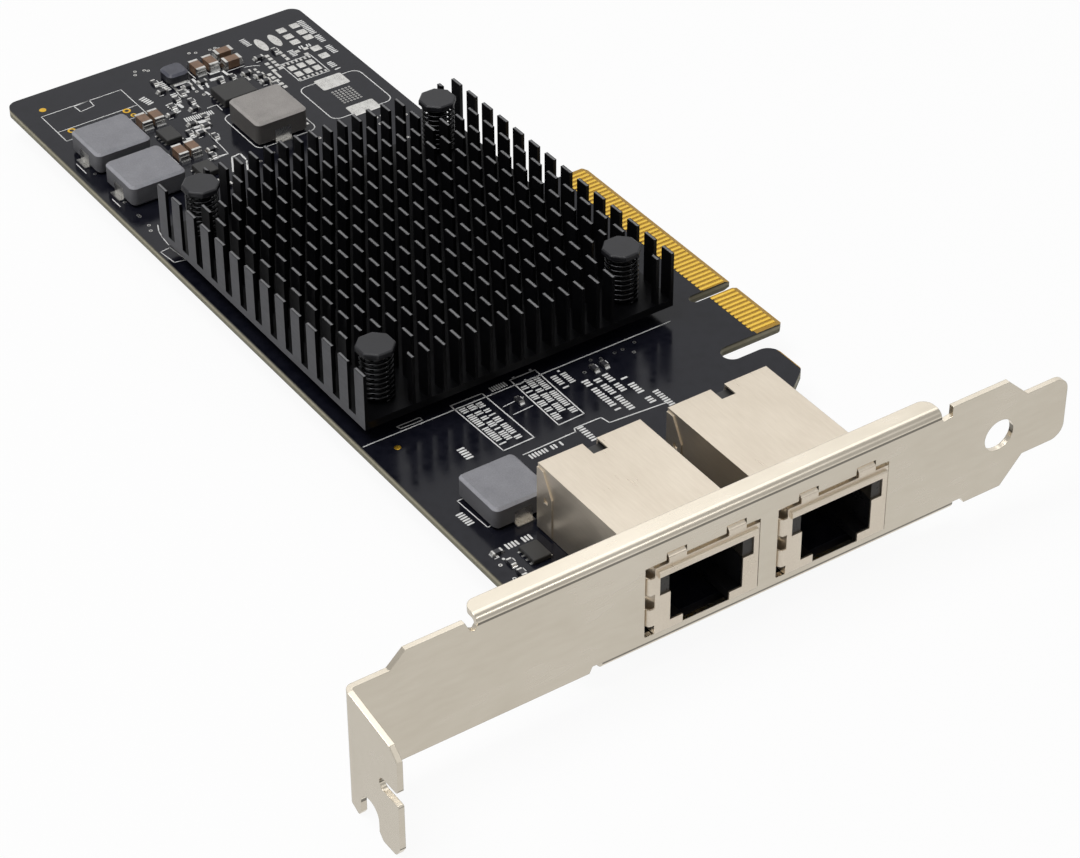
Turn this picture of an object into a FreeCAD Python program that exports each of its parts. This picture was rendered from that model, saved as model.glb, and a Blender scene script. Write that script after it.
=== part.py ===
import FreeCAD, Part
import math
import os
import re
import Sketcher

# A dual-port copper network card, lying with its component side up.
# X runs along the card towards the bracket's outer side, Y across it towards the
# tip of the card-edge tongue, and Z up from the component side of the board.
# The origin is the middle of the key notch, at the tongue's tip, on the board's top.

doc = FreeCAD.newDocument("NetworkCard")
sizes = doc.addObject("Spreadsheet::Sheet", "Sizes")
trial = doc.addObject("Spreadsheet::Sheet", "Trial")

SIZE_TABLE = {
    # circuit board
    "boardLong": 167.65, "boardWide": 68.9, "boardThick": 1.57,
    "boardNear": 57.45, "shoulder": 12.5, "boardRound": 2.0, "smallRound": 0.5,
    "tongueLong": 38.65, "tongueShort": 11.65, "keyWide": 1.9, "keyDeep": 8.25,
    "tipCorner": 0.6, "bevelLong": 0.9, "bevelDeep": 0.35,
    "hookGap": 3.5, "hookGapDeep": 12.7, "hookTip": 4.85, "hookLong": 7.3, "hookHeel": 10.1,
    "hookHeelTip": 8.4, "hookRound": 2.3, "hookHeelRound": 1.2,
    # gold contacts on the tongue
    "padPitch": 1.0, "padWide": 0.7, "padLong": 4.4, "padThick": 0.04, "firstPad": 1.5,
    "padsLong": 38, "padsShort": 11,
    # heat sink, cut from a finned extrusion
    "sinkFar": -58.05, "sinkLeft": -67.9, "sinkUnder": 2.4, "sinkBase": 1.25, "sinkHigh": 9.65,
    "toothPitch": 4.45, "toothLong": 2.5, "teeth": 14,
    "finPitch": 2.71, "finThick": 0.55, "fins": 21,
    "clearRound": 4.8, "clearChannel": 5.7,
    # push pins and their springs
    "pinMidX": -28.1, "pinMidY": -41.0, "pinSpanX": 50.8, "pinSpanY": 43.4,
    "pinShank": 1.5, "pinHead": 3.05, "pinHeadHigh": 0.9, "pinHeadTop": 12.85,
    "pinCollar": 2.0, "pinCollarHigh": 0.9, "pinBarb": 2.05, "pinTail": 3.2, "pinSlit": 0.6,
    "pinHeadBevel": 0.2, "pinPlay": 0.15, "coilRadius": 2.45, "coilWire": 0.27, "coilTurns": 6,
    # controller under the heat sink
    "chipWide": 25.0, "chipThick": 1.2, "lidWide": 21.0, "lidThick": 0.95,
    "crystalLong": 3.2, "crystalWide": 2.5, "crystalHigh": 0.8, "crystalX": -8.5, "crystalY": -41.0,
    # moulded power inductors
    "coilBoxLong": 10.0, "coilBoxWide": 9.5, "coilBoxHigh": 3.9, "coilBoxRound": 1.0,
    "coilBoxBevel": 0.4, "coilBoxUnder": 0.2, "firstCoilX": -86.7, "firstCoilY": -61.3,
    "secondCoilX": -75.1, "secondCoilY": -61.3, "thirdCoilX": 24.8, "thirdCoilY": -58.9,
    "terminalWide": 3.0, "terminalThick": 0.2, "terminalHigh": 2.3, "terminalFoot": 0.8,
    "terminalUnder": 1.6,
    # larger input inductor and the small one
    "inputX": -79.4, "inputY": -36.0, "inputLong": 9.7, "inputWide": 9.6, "inputHigh": 4.4,
    "inputRound": 0.9, "smallCoilX": -101.5, "smallCoilY": -41.4, "smallCoilWide": 4.0,
    "smallCoilHigh": 1.8, "smallCoilRound": 1.1,
    # packaged chips: middle, length, width and height
    "powerX": -90.7, "powerY": -36.0, "powerLong": 5.0, "powerWide": 6.3, "powerHigh": 1.5,
    "regOneX": -85.6, "regOneY": -51.3, "regOneLong": 4.0, "regOneWide": 2.9, "regOneHigh": 1.0,
    "regTwoX": -73.4, "regTwoY": -51.4, "regTwoLong": 3.6, "regTwoWide": 3.2, "regTwoHigh": 1.0,
    "memoryX": 36.7, "memoryY": -61.7, "memoryLong": 3.9, "memoryWide": 3.0, "memoryHigh": 0.8,
    "chipLift": 0.1, "leadWide": 0.35, "leadOut": 0.35, "chipBevel": 0.12,
    # surface-mount chips
    "bigCapLong": 3.2, "bigCapWide": 1.7, "bigCapHigh": 1.5, "bigCapEnd": 0.5,
    "midChipLong": 1.6, "midChipWide": 0.8, "midChipHigh": 0.5, "midChipEnd": 0.3,
    "bypassPitchX": 3.2, "bypassPitchY": 2.8,
    # jacks
    "jackFront": 59.8, "jackLong": 27.7, "jackWide": 17.3, "jackHigh": 11.55, "jackSheet": 0.3,
    "jackOneY": -49.4, "jackPitch": 22.1, "jackFeet": 0.1,
    "plugWide": 12.1, "plugLow": 1.5, "topBand": 1.65, "plugDeep": 13.0,
    "latchWide": 7.8, "latchDeep": 9.0, "sideBand": 0.85, "windowStep": 3.4, "windowGap": 0.06,
    "browDeep": 0.5, "browHigh": 1.1, "browRound": 0.3, "flapHole": 0.9,
    "housingLong": 15.4, "jackInner": 0.05, "tailWide": 0.5, "tailPitch": 2.04, "tailRow": 2.54,
    "tailLong": 1.3, "tailHole": 0.45, "tailFirst": 4.2, "pegRadius": 1.55, "pegHole": 1.65,
    "pegSpan": 11.4, "pegX": 48.6, "legWide": 1.2, "legHole": 0.8, "legX": 43.6,
    "contactPitch": 1.02, "contactWide": 0.45, "contactDrop": 3.1, "contacts": 8,
    "notchLong": 2.75, "notchWide": 2.4, "flapLong": 3.6,
    "tongueWide": 2.9, "tongueSpan": 9.9, "tongueSheet": 0.25, "sideTongueWide": 2.9,
    # folded bracket
    "faceOuter": 59.5, "sheet": 0.86, "foldInner": 0.5, "faceLow": -1.97, "faceHigh": 18.42,
    "bracketLong": 120.02, "tabOuter": -105.9, "tabOut": 11.9, "tabTop": 14.1, "tabTopOut": 12.4,
    "tabLow": -5.9, "tabCorner": 1.7, "slotWide": 4.4, "slotMiddle": 4.75, "slotTop": -1.1,
    "notchTop": 5.4, "notchLow": 3.3, "notchDeep": 4.5,
    "shoulderLeft": -96.9, "shoulderRun": 2.5, "reliefWide": 1.9, "reliefDeep": 0.6,
    "flangeLeft": -86.0, "flangeRight": -9.2, "flangeDeep": 3.7, "flangeRound": 1.7,
    "tonguePlateWide": 10.6, "tonguePlateMid": 7.55, "tonguePlateLong": 7.6, "cheekRun": 3.7,
    "plateRound": 2.3, "bracketHole": 2.6, "bracketHoleY": 1.8,
    "lipLeft": -66.3, "lipRight": -5.9, "lipDeep": 2.4, "lipNotch": 1.02, "lipNotchWide": 2.1,
    "earOneY": -62.4, "earTwoY": -15.7, "earWide": 5.9, "earDeep": 10.6, "earRound": 1.5,
    "screwX": 53.0, "screwShank": 1.48, "screwHole": 1.6, "earHole": 1.5, "screwHead": 2.6,
    "screwHeadHigh": 1.8, "screwLong": 3.2, "screwSocket": 0.9,
    "windowLeftPlay": 1.4, "windowRightPlay": 0.35, "windowTopPlay": 0.3, "windowLowZ": -0.1,
    "tongueNotchPlay": 0.2, "tongueNotchHigh": 1.55,
}

for row, (alias, number) in enumerate(SIZE_TABLE.items(), start=1):
    cell = "B" + str(row)
    sizes.set("A" + str(row), alias)
    sizes.set(cell, str(number))
    sizes.setAlias(cell, alias)
doc.recompute()


def formula(text):
    """A formula over the size names, as an expression on the Sizes sheet."""
    return re.sub(r"[A-Za-z]\w*",
                  lambda word: "Sizes." + word.group() if word.group() in SIZE_TABLE else word.group(),
                  str(text))


def valueOf(text):
    """What a formula over the size names comes to."""
    trial.set("A1", "=" + formula(text))
    trial.recompute()
    return float(trial.get("A1"))


nodes = {}
pockets = []


def newBody(name):
    """A PartDesign body that may hold several separate solids, and becomes one node."""
    body = doc.addObject("PartDesign::Body", name)
    body.Label = name
    body.AllowCompound = True
    nodes[name] = body
    return body


def originPart(body, role):
    return next(item for item in body.Origin.OriginFeatures if item.Role == role)


def newSketch(body, name, plane, offset="0"):
    """A sketch on an origin plane, moved along its normal (+Z, -Y or +X) by offset."""
    sketch = body.newObject("Sketcher::SketchObject", name)
    sketch.AttachmentSupport = [(originPart(body, plane), "")]
    sketch.MapMode = "FlatFace"
    sketch.setExpression("AttachmentOffset.Base.z", formula(offset))
    return sketch


def bindPoint(sketch, geometry, point, x, y):
    """Hold a point of the sketch at x, y from its origin."""
    for kind, text in (("DistanceX", x), ("DistanceY", y)):
        number = sketch.addConstraint(Sketcher.Constraint(kind, -1, 1, geometry, point, valueOf(text)))
        sketch.setExpression("Constraints[%d]" % number, formula(text))


def drawOutline(sketch, corners):
    """A closed outline through corners given as (x, y) or (x, y, radius) formulas."""
    spots = [FreeCAD.Vector(valueOf(corner[0]), valueOf(corner[1]), 0) for corner in corners]
    radii = [valueOf(corner[2]) if len(corner) > 2 else 0 for corner in corners]
    count = len(corners)
    starts, ends, arcs = [], [], []
    for i in range(count):
        here = spots[i]
        back = (spots[i - 1] - here).normalize()
        on = (spots[(i + 1) % count] - here).normalize()
        if radii[i] == 0:
            ends.append(here)
            starts.append(here)
            arcs.append(None)
            continue
        half = back.getAngle(on) / 2
        reach = radii[i] / math.tan(half)
        middle = here + (back + on).normalize() * (radii[i] / math.sin(half))
        ends.append(here + back * reach)
        starts.append(here + on * reach)
        left = back.cross(on).z < 0
        first, last = (ends[i], starts[i]) if left else (starts[i], ends[i])
        angles = [math.atan2((p - middle).y, (p - middle).x) for p in (first, last)]
        circle = Part.Circle(middle, FreeCAD.Vector(0, 0, 1), radii[i])
        arcs.append((Part.ArcOfCircle(circle, angles[0], angles[1]), left))
    lines = [sketch.addGeometry(Part.LineSegment(starts[i], ends[(i + 1) % count])) for i in range(count)]
    for i in range(count):
        lineIn, lineOut = lines[i - 1], lines[i]
        if arcs[i] is None:
            sketch.addConstraint(Sketcher.Constraint("Coincident", lineIn, 2, lineOut, 1))
            bindPoint(sketch, lineOut, 1, corners[i][0], corners[i][1])
            continue
        arc, left = arcs[i]
        bend = sketch.addGeometry(arc)
        sketch.addConstraint(Sketcher.Constraint("Tangent", lineIn, 2, bend, 1 if left else 2))
        sketch.addConstraint(Sketcher.Constraint("Tangent", lineOut, 1, bend, 2 if left else 1))
        number = sketch.addConstraint(Sketcher.Constraint("Radius", bend, radii[i]))
        sketch.setExpression("Constraints[%d]" % number, formula(corners[i][2]))
        corner = sketch.addGeometry(Part.Point(spots[i]), True)
        sketch.addConstraint(Sketcher.Constraint("PointOnObject", corner, 1, lineIn))
        sketch.addConstraint(Sketcher.Constraint("PointOnObject", corner, 1, lineOut))
        bindPoint(sketch, corner, 1, corners[i][0], corners[i][1])


def drawRectangle(sketch, left, right, low, high, radius=None):
    corners = [(left, low), (right, low), (right, high), (left, high)]
    drawOutline(sketch, [corner + (radius,) if radius else corner for corner in corners])


def drawCircle(sketch, x, y, radius):
    middle = FreeCAD.Vector(valueOf(x), valueOf(y), 0)
    circle = sketch.addGeometry(Part.Circle(middle, FreeCAD.Vector(0, 0, 1), valueOf(radius)))
    bindPoint(sketch, circle, 3, x, y)
    number = sketch.addConstraint(Sketcher.Constraint("Radius", circle, valueOf(radius)))
    sketch.setExpression("Constraints[%d]" % number, formula(radius))


def pad(body, sketch, length, reverse=False):
    feature = body.newObject("PartDesign::Pad", sketch.Name + "Pad")
    feature.Profile = sketch
    feature.setExpression("Length", formula(length))
    feature.Reversed = reverse
    body.Tip = feature
    return feature


def pocket(body, sketch, length, reverse=False):
    """Cut against the sketch's normal, or along it when reversed."""
    feature = body.newObject("PartDesign::Pocket", sketch.Name + "Pocket")
    feature.Profile = sketch
    feature.setExpression("Length", formula(length))
    feature.Reversed = reverse
    body.Tip = feature
    pockets.append(feature)
    return feature


def repeat(body, features, axis, length, count):
    """Repeat features, or the whole body if features is None, along an origin axis."""
    pattern = body.newObject("PartDesign::LinearPattern", body.Name + "Row")
    if features is None:
        pattern.TransformMode = "Whole shape"
    else:
        pattern.Originals = features
    pattern.Direction = (originPart(body, axis), [""])
    pattern.setExpression("Length", formula(length))
    pattern.setExpression("Occurrences", formula(count))
    body.Tip = pattern
    return pattern


def dressEdges(body, kind, base, size, chosen):
    """Fillet or chamfer the edges of base that chosen(edge) picks."""
    doc.recompute()
    names = ["Edge%d" % (i + 1) for i, edge in enumerate(base.Shape.Edges) if chosen(edge)]
    feature = body.newObject("PartDesign::" + kind, body.Name + kind)
    feature.Base = (base, names)
    feature.setExpression("Radius" if kind == "Fillet" else "Size", formula(size))
    body.Tip = feature
    return feature


def atHeight(edge, level):
    return all(abs(vertex.Z - level) < 1e-4 for vertex in edge.Vertexes)


def uprightAt(edge, x):
    ends = [vertex.Point for vertex in edge.Vertexes]
    return all(abs(end.x - x) < 1e-3 for end in ends) and abs(ends[0].y - ends[-1].y) < 1e-6


def box(name, left, right, front, back, low, high):
    """A Part box between six formulas."""
    block = doc.addObject("Part::Box", name)
    block.setExpression("Length", formula("(%s) - (%s)" % (right, left)))
    block.setExpression("Width", formula("(%s) - (%s)" % (back, front)))
    block.setExpression("Height", formula("(%s) - (%s)" % (high, low)))
    block.setExpression("Placement.Base.x", formula(left))
    block.setExpression("Placement.Base.y", formula(front))
    block.setExpression("Placement.Base.z", formula(low))
    return block


def group(name, pieces):
    """One node of separate solids."""
    holder = doc.addObject("Part::Compound", name)
    holder.Label = name
    holder.Links = pieces
    nodes[name] = holder
    return holder


# Places that several pieces share
boardFar = "boardNear - boardLong"
boardUnder = "-boardThick"
tongueFar = "-keyWide / 2 - tongueLong"
tongueNear = "keyWide / 2 + tongueShort"
hookLeft = tongueNear + " + hookGap"
pinXs = ["pinMidX - pinSpanX / 2", "pinMidX + pinSpanX / 2"]
pinYs = ["pinMidY - pinSpanY / 2", "pinMidY + pinSpanY / 2"]
sinkNear = "sinkFar + (teeth - 1) * toothPitch + toothLong"
sinkRight = "sinkLeft + (fins - 1) * finPitch + finThick"
sinkTop = "sinkUnder + sinkHigh"
sinkFloor = "sinkUnder + sinkBase"
jackYs = ["jackOneY", "jackOneY + jackPitch"]
jackRear = "jackFront - jackLong"
plugTop = "(jackHigh - topBand)"
windowLow = "(jackHigh - topBand - windowStep)"
windowWide = "(jackWide / 2 - sideBand - plugWide / 2)"
faceInner = "faceOuter - sheet"
foldOuter = "foldInner + sheet"
faceTop = "faceLow + faceHigh"
screwYs = ["earOneY", "earTwoY"]


def tailSpots(jackY):
    """Middles of one jack's ten solder tails, in two staggered rows."""
    spots = []
    for i in range(10):
        x = "%s + tailFirst + %d * tailRow" % (jackRear, i % 2)
        y = "%s + (%d - 4.5) * tailPitch / 1.3" % (jackY, i)
        spots.append((x, y))
    return spots


def makeBoard():
    body = newBody("circuit_board")
    outline = newSketch(body, "BoardOutline", "XY_Plane")
    drawOutline(outline, [
        (boardFar, "-boardWide", "boardRound"),
        ("boardNear", "-boardWide", "smallRound"),
        ("boardNear", "-shoulder", "smallRound"),
        (hookLeft + " + hookHeel", "-shoulder"),
        (hookLeft + " + hookHeel", "-hookHeelTip", "hookHeelRound"),
        (hookLeft + " + hookLong", "-hookTip", "hookHeelRound"),
        (hookLeft, "-hookTip", "hookRound"),
        (hookLeft, "-hookGapDeep", "hookGap / 2 - 0.02"),
        (tongueNear, "-hookGapDeep", "hookGap / 2 - 0.02"),
        (tongueNear, "-tipCorner"),
        (tongueNear + " - tipCorner", "0"),
        ("keyWide / 2", "0"),
        ("keyWide / 2", "-keyDeep", "keyWide / 2 - 0.02"),
        ("-keyWide / 2", "-keyDeep", "keyWide / 2 - 0.02"),
        ("-keyWide / 2", "0"),
        (tongueFar + " + tipCorner", "0"),
        (tongueFar, "-tipCorner"),
        (tongueFar, "-shoulder", "smallRound"),
        (boardFar, "-shoulder", "boardRound"),
    ])
    pad(body, outline, "boardThick", reverse=True)
    # the tongue's tip is bevelled on both sides, so that it opens the slot's springs
    bevel = newSketch(body, "TipBevel", "YZ_Plane", tongueFar + " - 1")
    drawOutline(bevel, [("0.01", "0.01"), ("-bevelLong", "0.01"), ("-bevelLong", "0"), ("0.01", "-bevelDeep")])
    pocket(body, bevel, "tongueLong + tongueShort + keyWide + 2", reverse=True)
    lower = newSketch(body, "TipBevelUnder", "YZ_Plane", tongueFar + " - 1")
    drawOutline(lower, [("0.01", boardUnder + " - 0.01"), ("0.01", boardUnder + " + bevelDeep"),
                        ("-bevelLong", boardUnder), ("-bevelLong", boardUnder + " - 0.01")])
    pocket(body, lower, "tongueLong + tongueShort + keyWide + 2", reverse=True)
    holes = newSketch(body, "BoardHoles", "XY_Plane")
    for x in pinXs:
        for y in pinYs:
            drawCircle(holes, x, y, "pinShank + pinPlay")
    for y in screwYs:
        drawCircle(holes, "screwX", y, "screwHole")
    for y in jackYs:
        for tailX, tailY in tailSpots(y):
            drawCircle(holes, tailX, tailY, "tailHole")
        for side in ("-", "+"):
            drawCircle(holes, "pegX", "%s %s pegSpan / 2" % (y, side), "pegHole")
            drawCircle(holes, "legX", "%s %s (jackWide - jackSheet) / 2" % (y, side), "legHole")
    pocket(body, holes, "boardThick")


def makeContacts():
    body = newBody("edge_contacts")
    for name, first, last in (("Short", "firstPad", "padsShort"), ("Long", "-firstPad - (padsLong - 1) * padPitch", "padsLong")):
        for side, level, down in (("Top", "0", False), ("Under", boardUnder, True)):
            sketch = newSketch(body, name + side + "Pad", "XY_Plane", level)
            drawRectangle(sketch, first + " - padWide / 2", first + " + padWide / 2",
                          "-bevelLong - padLong", "-bevelLong")
            strip = pad(body, sketch, "padThick", reverse=down)
            repeat(body, [strip], "X_Axis", "(%s - 1) * padPitch" % last, last)


def makeController():
    substrate = newBody("controller_substrate")
    sketch = newSketch(substrate, "SubstrateOutline", "XY_Plane")
    drawRectangle(sketch, "pinMidX - chipWide / 2", "pinMidX + chipWide / 2",
                  "pinMidY - chipWide / 2", "pinMidY + chipWide / 2", "smallRound")
    pad(substrate, sketch, "chipThick")
    lid = newBody("controller_lid")
    sketch = newSketch(lid, "LidOutline", "XY_Plane", "chipThick")
    drawRectangle(sketch, "pinMidX - lidWide / 2", "pinMidX + lidWide / 2",
                  "pinMidY - lidWide / 2", "pinMidY + lidWide / 2", "smallRound")
    pad(lid, sketch, "lidThick")
    cushion = newBody("thermal_pad")
    sketch = newSketch(cushion, "PadOutline", "XY_Plane", "chipThick + lidThick")
    drawRectangle(sketch, "pinMidX - lidWide / 2", "pinMidX + lidWide / 2",
                  "pinMidY - lidWide / 2", "pinMidY + lidWide / 2")
    pad(cushion, sketch, "sinkUnder - chipThick - lidThick")
    crystal = newBody("clock_crystal")
    sketch = newSketch(crystal, "CrystalOutline", "XY_Plane")
    drawRectangle(sketch, "crystalX - crystalWide / 2", "crystalX + crystalWide / 2",
                  "crystalY - crystalLong / 2", "crystalY + crystalLong / 2", "smallRound / 2")
    pad(crystal, sketch, "crystalHigh")


def makeHeatSink():
    """A finned extrusion, sawn across into teeth, with room for the four push pins."""
    body = newBody("heat_sink")
    blank = newSketch(body, "SinkBlank", "XY_Plane", "sinkUnder")
    drawRectangle(blank, "sinkFar", sinkNear, "sinkLeft", sinkRight)
    pad(body, blank, "sinkHigh")
    channel = newSketch(body, "FinGap", "YZ_Plane", "sinkFar - 1")
    drawRectangle(channel, "sinkLeft + finThick", "sinkLeft + finPitch", sinkFloor, sinkTop + " + 1")
    gap = pocket(body, channel, "(%s) - (sinkFar) + 2" % sinkNear, reverse=True)
    repeat(body, [gap], "Y_Axis", "(fins - 2) * finPitch", "fins - 1")
    saw = newSketch(body, "SawCut", "XZ_Plane", "-(sinkLeft - 1)")
    drawRectangle(saw, "sinkFar + toothLong", "sinkFar + toothPitch", sinkFloor, sinkTop + " + 1")
    cut = pocket(body, saw, "(%s) - (sinkLeft) + 2" % sinkRight)
    repeat(body, [cut], "X_Axis", "(teeth - 2) * toothPitch", "teeth - 1")
    rooms = newSketch(body, "PinRooms", "XY_Plane", sinkFloor)
    for x in pinXs:
        for y in pinYs:
            drawCircle(rooms, x, y, "clearRound")
    pocket(body, rooms, "sinkHigh", reverse=True)
    ways = newSketch(body, "PinWays", "XY_Plane", sinkFloor)
    for y in pinYs:
        low, high = y + " - clearChannel / 2", y + " + clearChannel / 2"
        drawRectangle(ways, "sinkFar - 1", pinXs[0], low, high)
        drawRectangle(ways, pinXs[1], sinkNear + " + 1", low, high)
    pocket(body, ways, "sinkHigh", reverse=True)
    holes = newSketch(body, "SinkHoles", "XY_Plane", sinkFloor)
    for x in pinXs:
        for y in pinYs:
            drawCircle(holes, x, y, "pinShank + pinPlay")
    pocket(body, holes, "sinkBase")


def makePushPins():
    """Plastic push pins: eight-sided head, collar, shank and a split barb under the board."""
    body = newBody("push_pins")
    x, y = pinXs[0], pinYs[0]
    shank = newSketch(body, "PinProfile", "XZ_Plane", "-(%s)" % y)
    barbTop = boardUnder + " - pinPlay"
    tip = boardUnder + " - pinTail"
    drawOutline(shank, [
        (x, tip), (x + " + 0.7", tip), (x + " + pinBarb", barbTop + " - 0.7"), (x + " + pinBarb", barbTop),
        (x + " + pinShank", barbTop), (x + " + pinShank", "pinHeadTop - pinHeadHigh - pinCollarHigh"),
        (x + " + pinCollar", "pinHeadTop - pinHeadHigh - pinCollarHigh"),
        (x + " + pinCollar", "pinHeadTop - pinHeadHigh"), (x, "pinHeadTop - pinHeadHigh"),
    ])
    turned = body.newObject("PartDesign::Revolution", "PinTurned")
    turned.Profile = shank
    turned.ReferenceAxis = (shank, ["Axis0"])
    spindle = shank.addGeometry(Part.LineSegment(FreeCAD.Vector(valueOf(x), -5, 0),
                                                 FreeCAD.Vector(valueOf(x), 15, 0)), True)
    shank.addConstraint(Sketcher.Constraint("Vertical", spindle))
    bindPoint(shank, spindle, 1, x, "-5")
    turned.Angle = 360
    body.Tip = turned
    head = newSketch(body, "PinHead", "XY_Plane", "pinHeadTop - pinHeadHigh")
    turns = [math.radians(22.5 + 45 * i) for i in range(8)]
    drawOutline(head, [("%s + pinHead * %.5f" % (x, math.cos(a)), "%s + pinHead * %.5f" % (y, math.sin(a)))
                       for a in turns])
    rim = pad(body, head, "pinHeadHigh")
    top = valueOf("pinHeadTop")
    dressEdges(body, "Chamfer", rim, "pinHeadBevel", lambda edge: atHeight(edge, top))
    slit = newSketch(body, "PinSlit", "XY_Plane", boardUnder + " - 0.4")
    drawRectangle(slit, x + " - pinBarb - 1", x + " + pinBarb + 1", y + " - pinSlit / 2", y + " + pinSlit / 2")
    pocket(body, slit, "pinTail")
    repeat(body, None, "X_Axis", "pinSpanX", "2")
    repeat(body, None, "Y_Axis", "pinSpanY", "2")


def coilShape(middle, low, high, radius, wire, turns):
    """A wound spring as one closed solid: six-sided wire along a helix, flat at both ends."""
    steps, sides = 9, 5
    rings = []
    count = int(turns * steps)
    for i in range(count + 1):
        along = i / count
        angle = 2 * math.pi * i / steps
        # the end turns lie close, as they do where a spring is ground flat
        level = low + wire + (high - low - 2 * wire) * (along - math.sin(2 * math.pi * along) / 14)
        outward = FreeCAD.Vector(math.cos(angle), math.sin(angle), 0)
        centre = middle + outward * radius
        centre.z = level
        ring = [centre + outward * (wire * math.cos(2 * math.pi * k / sides + 0.5))
                + FreeCAD.Vector(0, 0, wire * math.sin(2 * math.pi * k / sides + 0.5)) for k in range(sides)]
        rings.append(ring)
    faces = []
    for one, two in zip(rings, rings[1:]):
        for k in range(sides):
            a, b, c, d = one[k], one[(k + 1) % sides], two[(k + 1) % sides], two[k]
            faces.append(Part.Face(Part.makePolygon([a, b, c, a])))
            faces.append(Part.Face(Part.makePolygon([a, c, d, a])))
    for ring in (rings[0], rings[-1]):
        faces.append(Part.Face(Part.makePolygon(ring + [ring[0]])))
    solid = Part.Solid(Part.Shell(faces))
    if solid.Volume < 0:
        solid.reverse()
    return solid


def makeSprings():
    shapes = []
    low = valueOf(sinkFloor)
    high = valueOf("pinHeadTop - pinHeadHigh")
    for x in pinXs:
        for y in pinYs:
            middle = FreeCAD.Vector(valueOf(x), valueOf(y), 0)
            shapes.append(coilShape(middle, low, high, valueOf("coilRadius"), valueOf("coilWire"),
                                    valueOf("coilTurns")))
    spring = doc.addObject("Part::Feature", "push_pin_springs")
    spring.Label = "push_pin_springs"
    spring.Shape = Part.makeCompound(shapes)
    nodes["push_pin_springs"] = spring


def mouldedBlock(name, x, y, long, wide, low, high, corner, bevel, both=False):
    """A moulded body: rounded upright corners and a bevelled top edge, or both edges."""
    body = newBody(name)
    outline = newSketch(body, name + "Outline", "XY_Plane", low)
    drawRectangle(outline, "%s - %s / 2" % (x, long), "%s + %s / 2" % (x, long),
                  "%s - %s / 2" % (y, wide), "%s + %s / 2" % (y, wide), corner)
    block = pad(body, outline, "(%s) - (%s)" % (high, low))
    levels = [valueOf(high), valueOf(low)] if both else [valueOf(high)]
    dressEdges(body, "Chamfer", block, bevel, lambda edge: any(atHeight(edge, level) for level in levels))
    return body


def terminalRecess(body, x, y, long, wide, along):
    """Shallow recesses in two opposite sides, where the terminals lie."""
    sketch = newSketch(body, body.Name + "Recess", "XY_Plane", "0")
    middle, across, span = (x, y, long) if along == "X" else (y, x, wide)
    low, high = across + " - terminalWide / 2", across + " + terminalWide / 2"
    for side in ("-", "+"):
        inner = "%s %s (%s / 2 - terminalThick)" % (middle, side, span)
        outer = "%s %s (%s / 2 + 1)" % (middle, side, span)
        near, far = (inner, outer) if side == "+" else (outer, inner)
        if along == "X":
            drawRectangle(sketch, near, far, low, high)
        else:
            drawRectangle(sketch, low, high, near, far)
    pocket(body, sketch, "terminalHigh", reverse=True)


def terminals(body, x, y, long, wide, along, label):
    """Two tinned terminals: a riser in each side recess, and a foot under the block."""
    plane, offset = ("XZ_Plane", "-(%s + terminalWide / 2)" % y) if along == "X" else \
        ("YZ_Plane", "%s - terminalWide / 2" % x)
    middle, span = (x, long) if along == "X" else (y, wide)
    for side, word in (("-", "Low"), ("+", "High")):
        sign = 1 if side == "+" else -1
        sketch = newSketch(body, label + word, plane, offset)
        face = "%s %s (%s / 2)" % (middle, side, span)
        inner = "%s %s (%s / 2 - terminalThick)" % (middle, side, span)
        under = "%s %s (%s / 2 - terminalUnder)" % (middle, side, span)
        out = "%s %s (%s / 2 + terminalFoot)" % (middle, side, span)
        corners = [(under, "0"), (out, "0"), (out, "coilBoxUnder"), (face, "coilBoxUnder"),
                   (face, "terminalHigh"), (inner, "terminalHigh"), (inner, "coilBoxUnder"),
                   (under, "coilBoxUnder")]
        drawOutline(sketch, corners if sign > 0 else corners[::-1])
        pad(body, sketch, "terminalWide")


def makeInductors():
    metal = newBody("power_inductor_terminals")
    for number, (x, y, along) in enumerate((("firstCoilX", "firstCoilY", "Y"), ("secondCoilX", "secondCoilY", "Y"),
                                            ("thirdCoilX", "thirdCoilY", "X")), start=1):
        long, wide = ("coilBoxLong", "coilBoxWide") if along == "X" else ("coilBoxWide", "coilBoxLong")
        name = "power_inductor_%d" % number
        block = mouldedBlock(name, x, y, long, wide, "coilBoxUnder", "coilBoxHigh", "coilBoxRound",
                             "coilBoxBevel", True)
        terminalRecess(block, x, y, long, wide, along)
        terminals(metal, x, y, long, wide, along, "Terminal%d" % number)
    block = mouldedBlock("input_inductor", "inputX", "inputY", "inputLong", "inputWide", "coilBoxUnder",
                         "inputHigh", "inputRound", "coilBoxBevel", True)
    terminalRecess(block, "inputX", "inputY", "inputLong", "inputWide", "X")
    metal = newBody("input_inductor_terminals")
    terminals(metal, "inputX", "inputY", "inputLong", "inputWide", "X", "InputTerminal")
    mouldedBlock("small_inductor", "smallCoilX", "smallCoilY", "smallCoilWide", "smallCoilWide", "coilBoxUnder",
                 "smallCoilHigh", "smallCoilRound", "coilBoxBevel")
    plates = []
    for number, side in enumerate(("-", "+")):
        edge = "smallCoilX %s (smallCoilWide / 2 - 0.5)" % side
        plates.append(box("SmallCoilEnd%d" % number, edge + " - 0.6", edge + " + 0.6",
                          "smallCoilY - 1.4", "smallCoilY + 1.4", "0", "coilBoxUnder"))
    group("small_inductor_terminals", plates)


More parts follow.
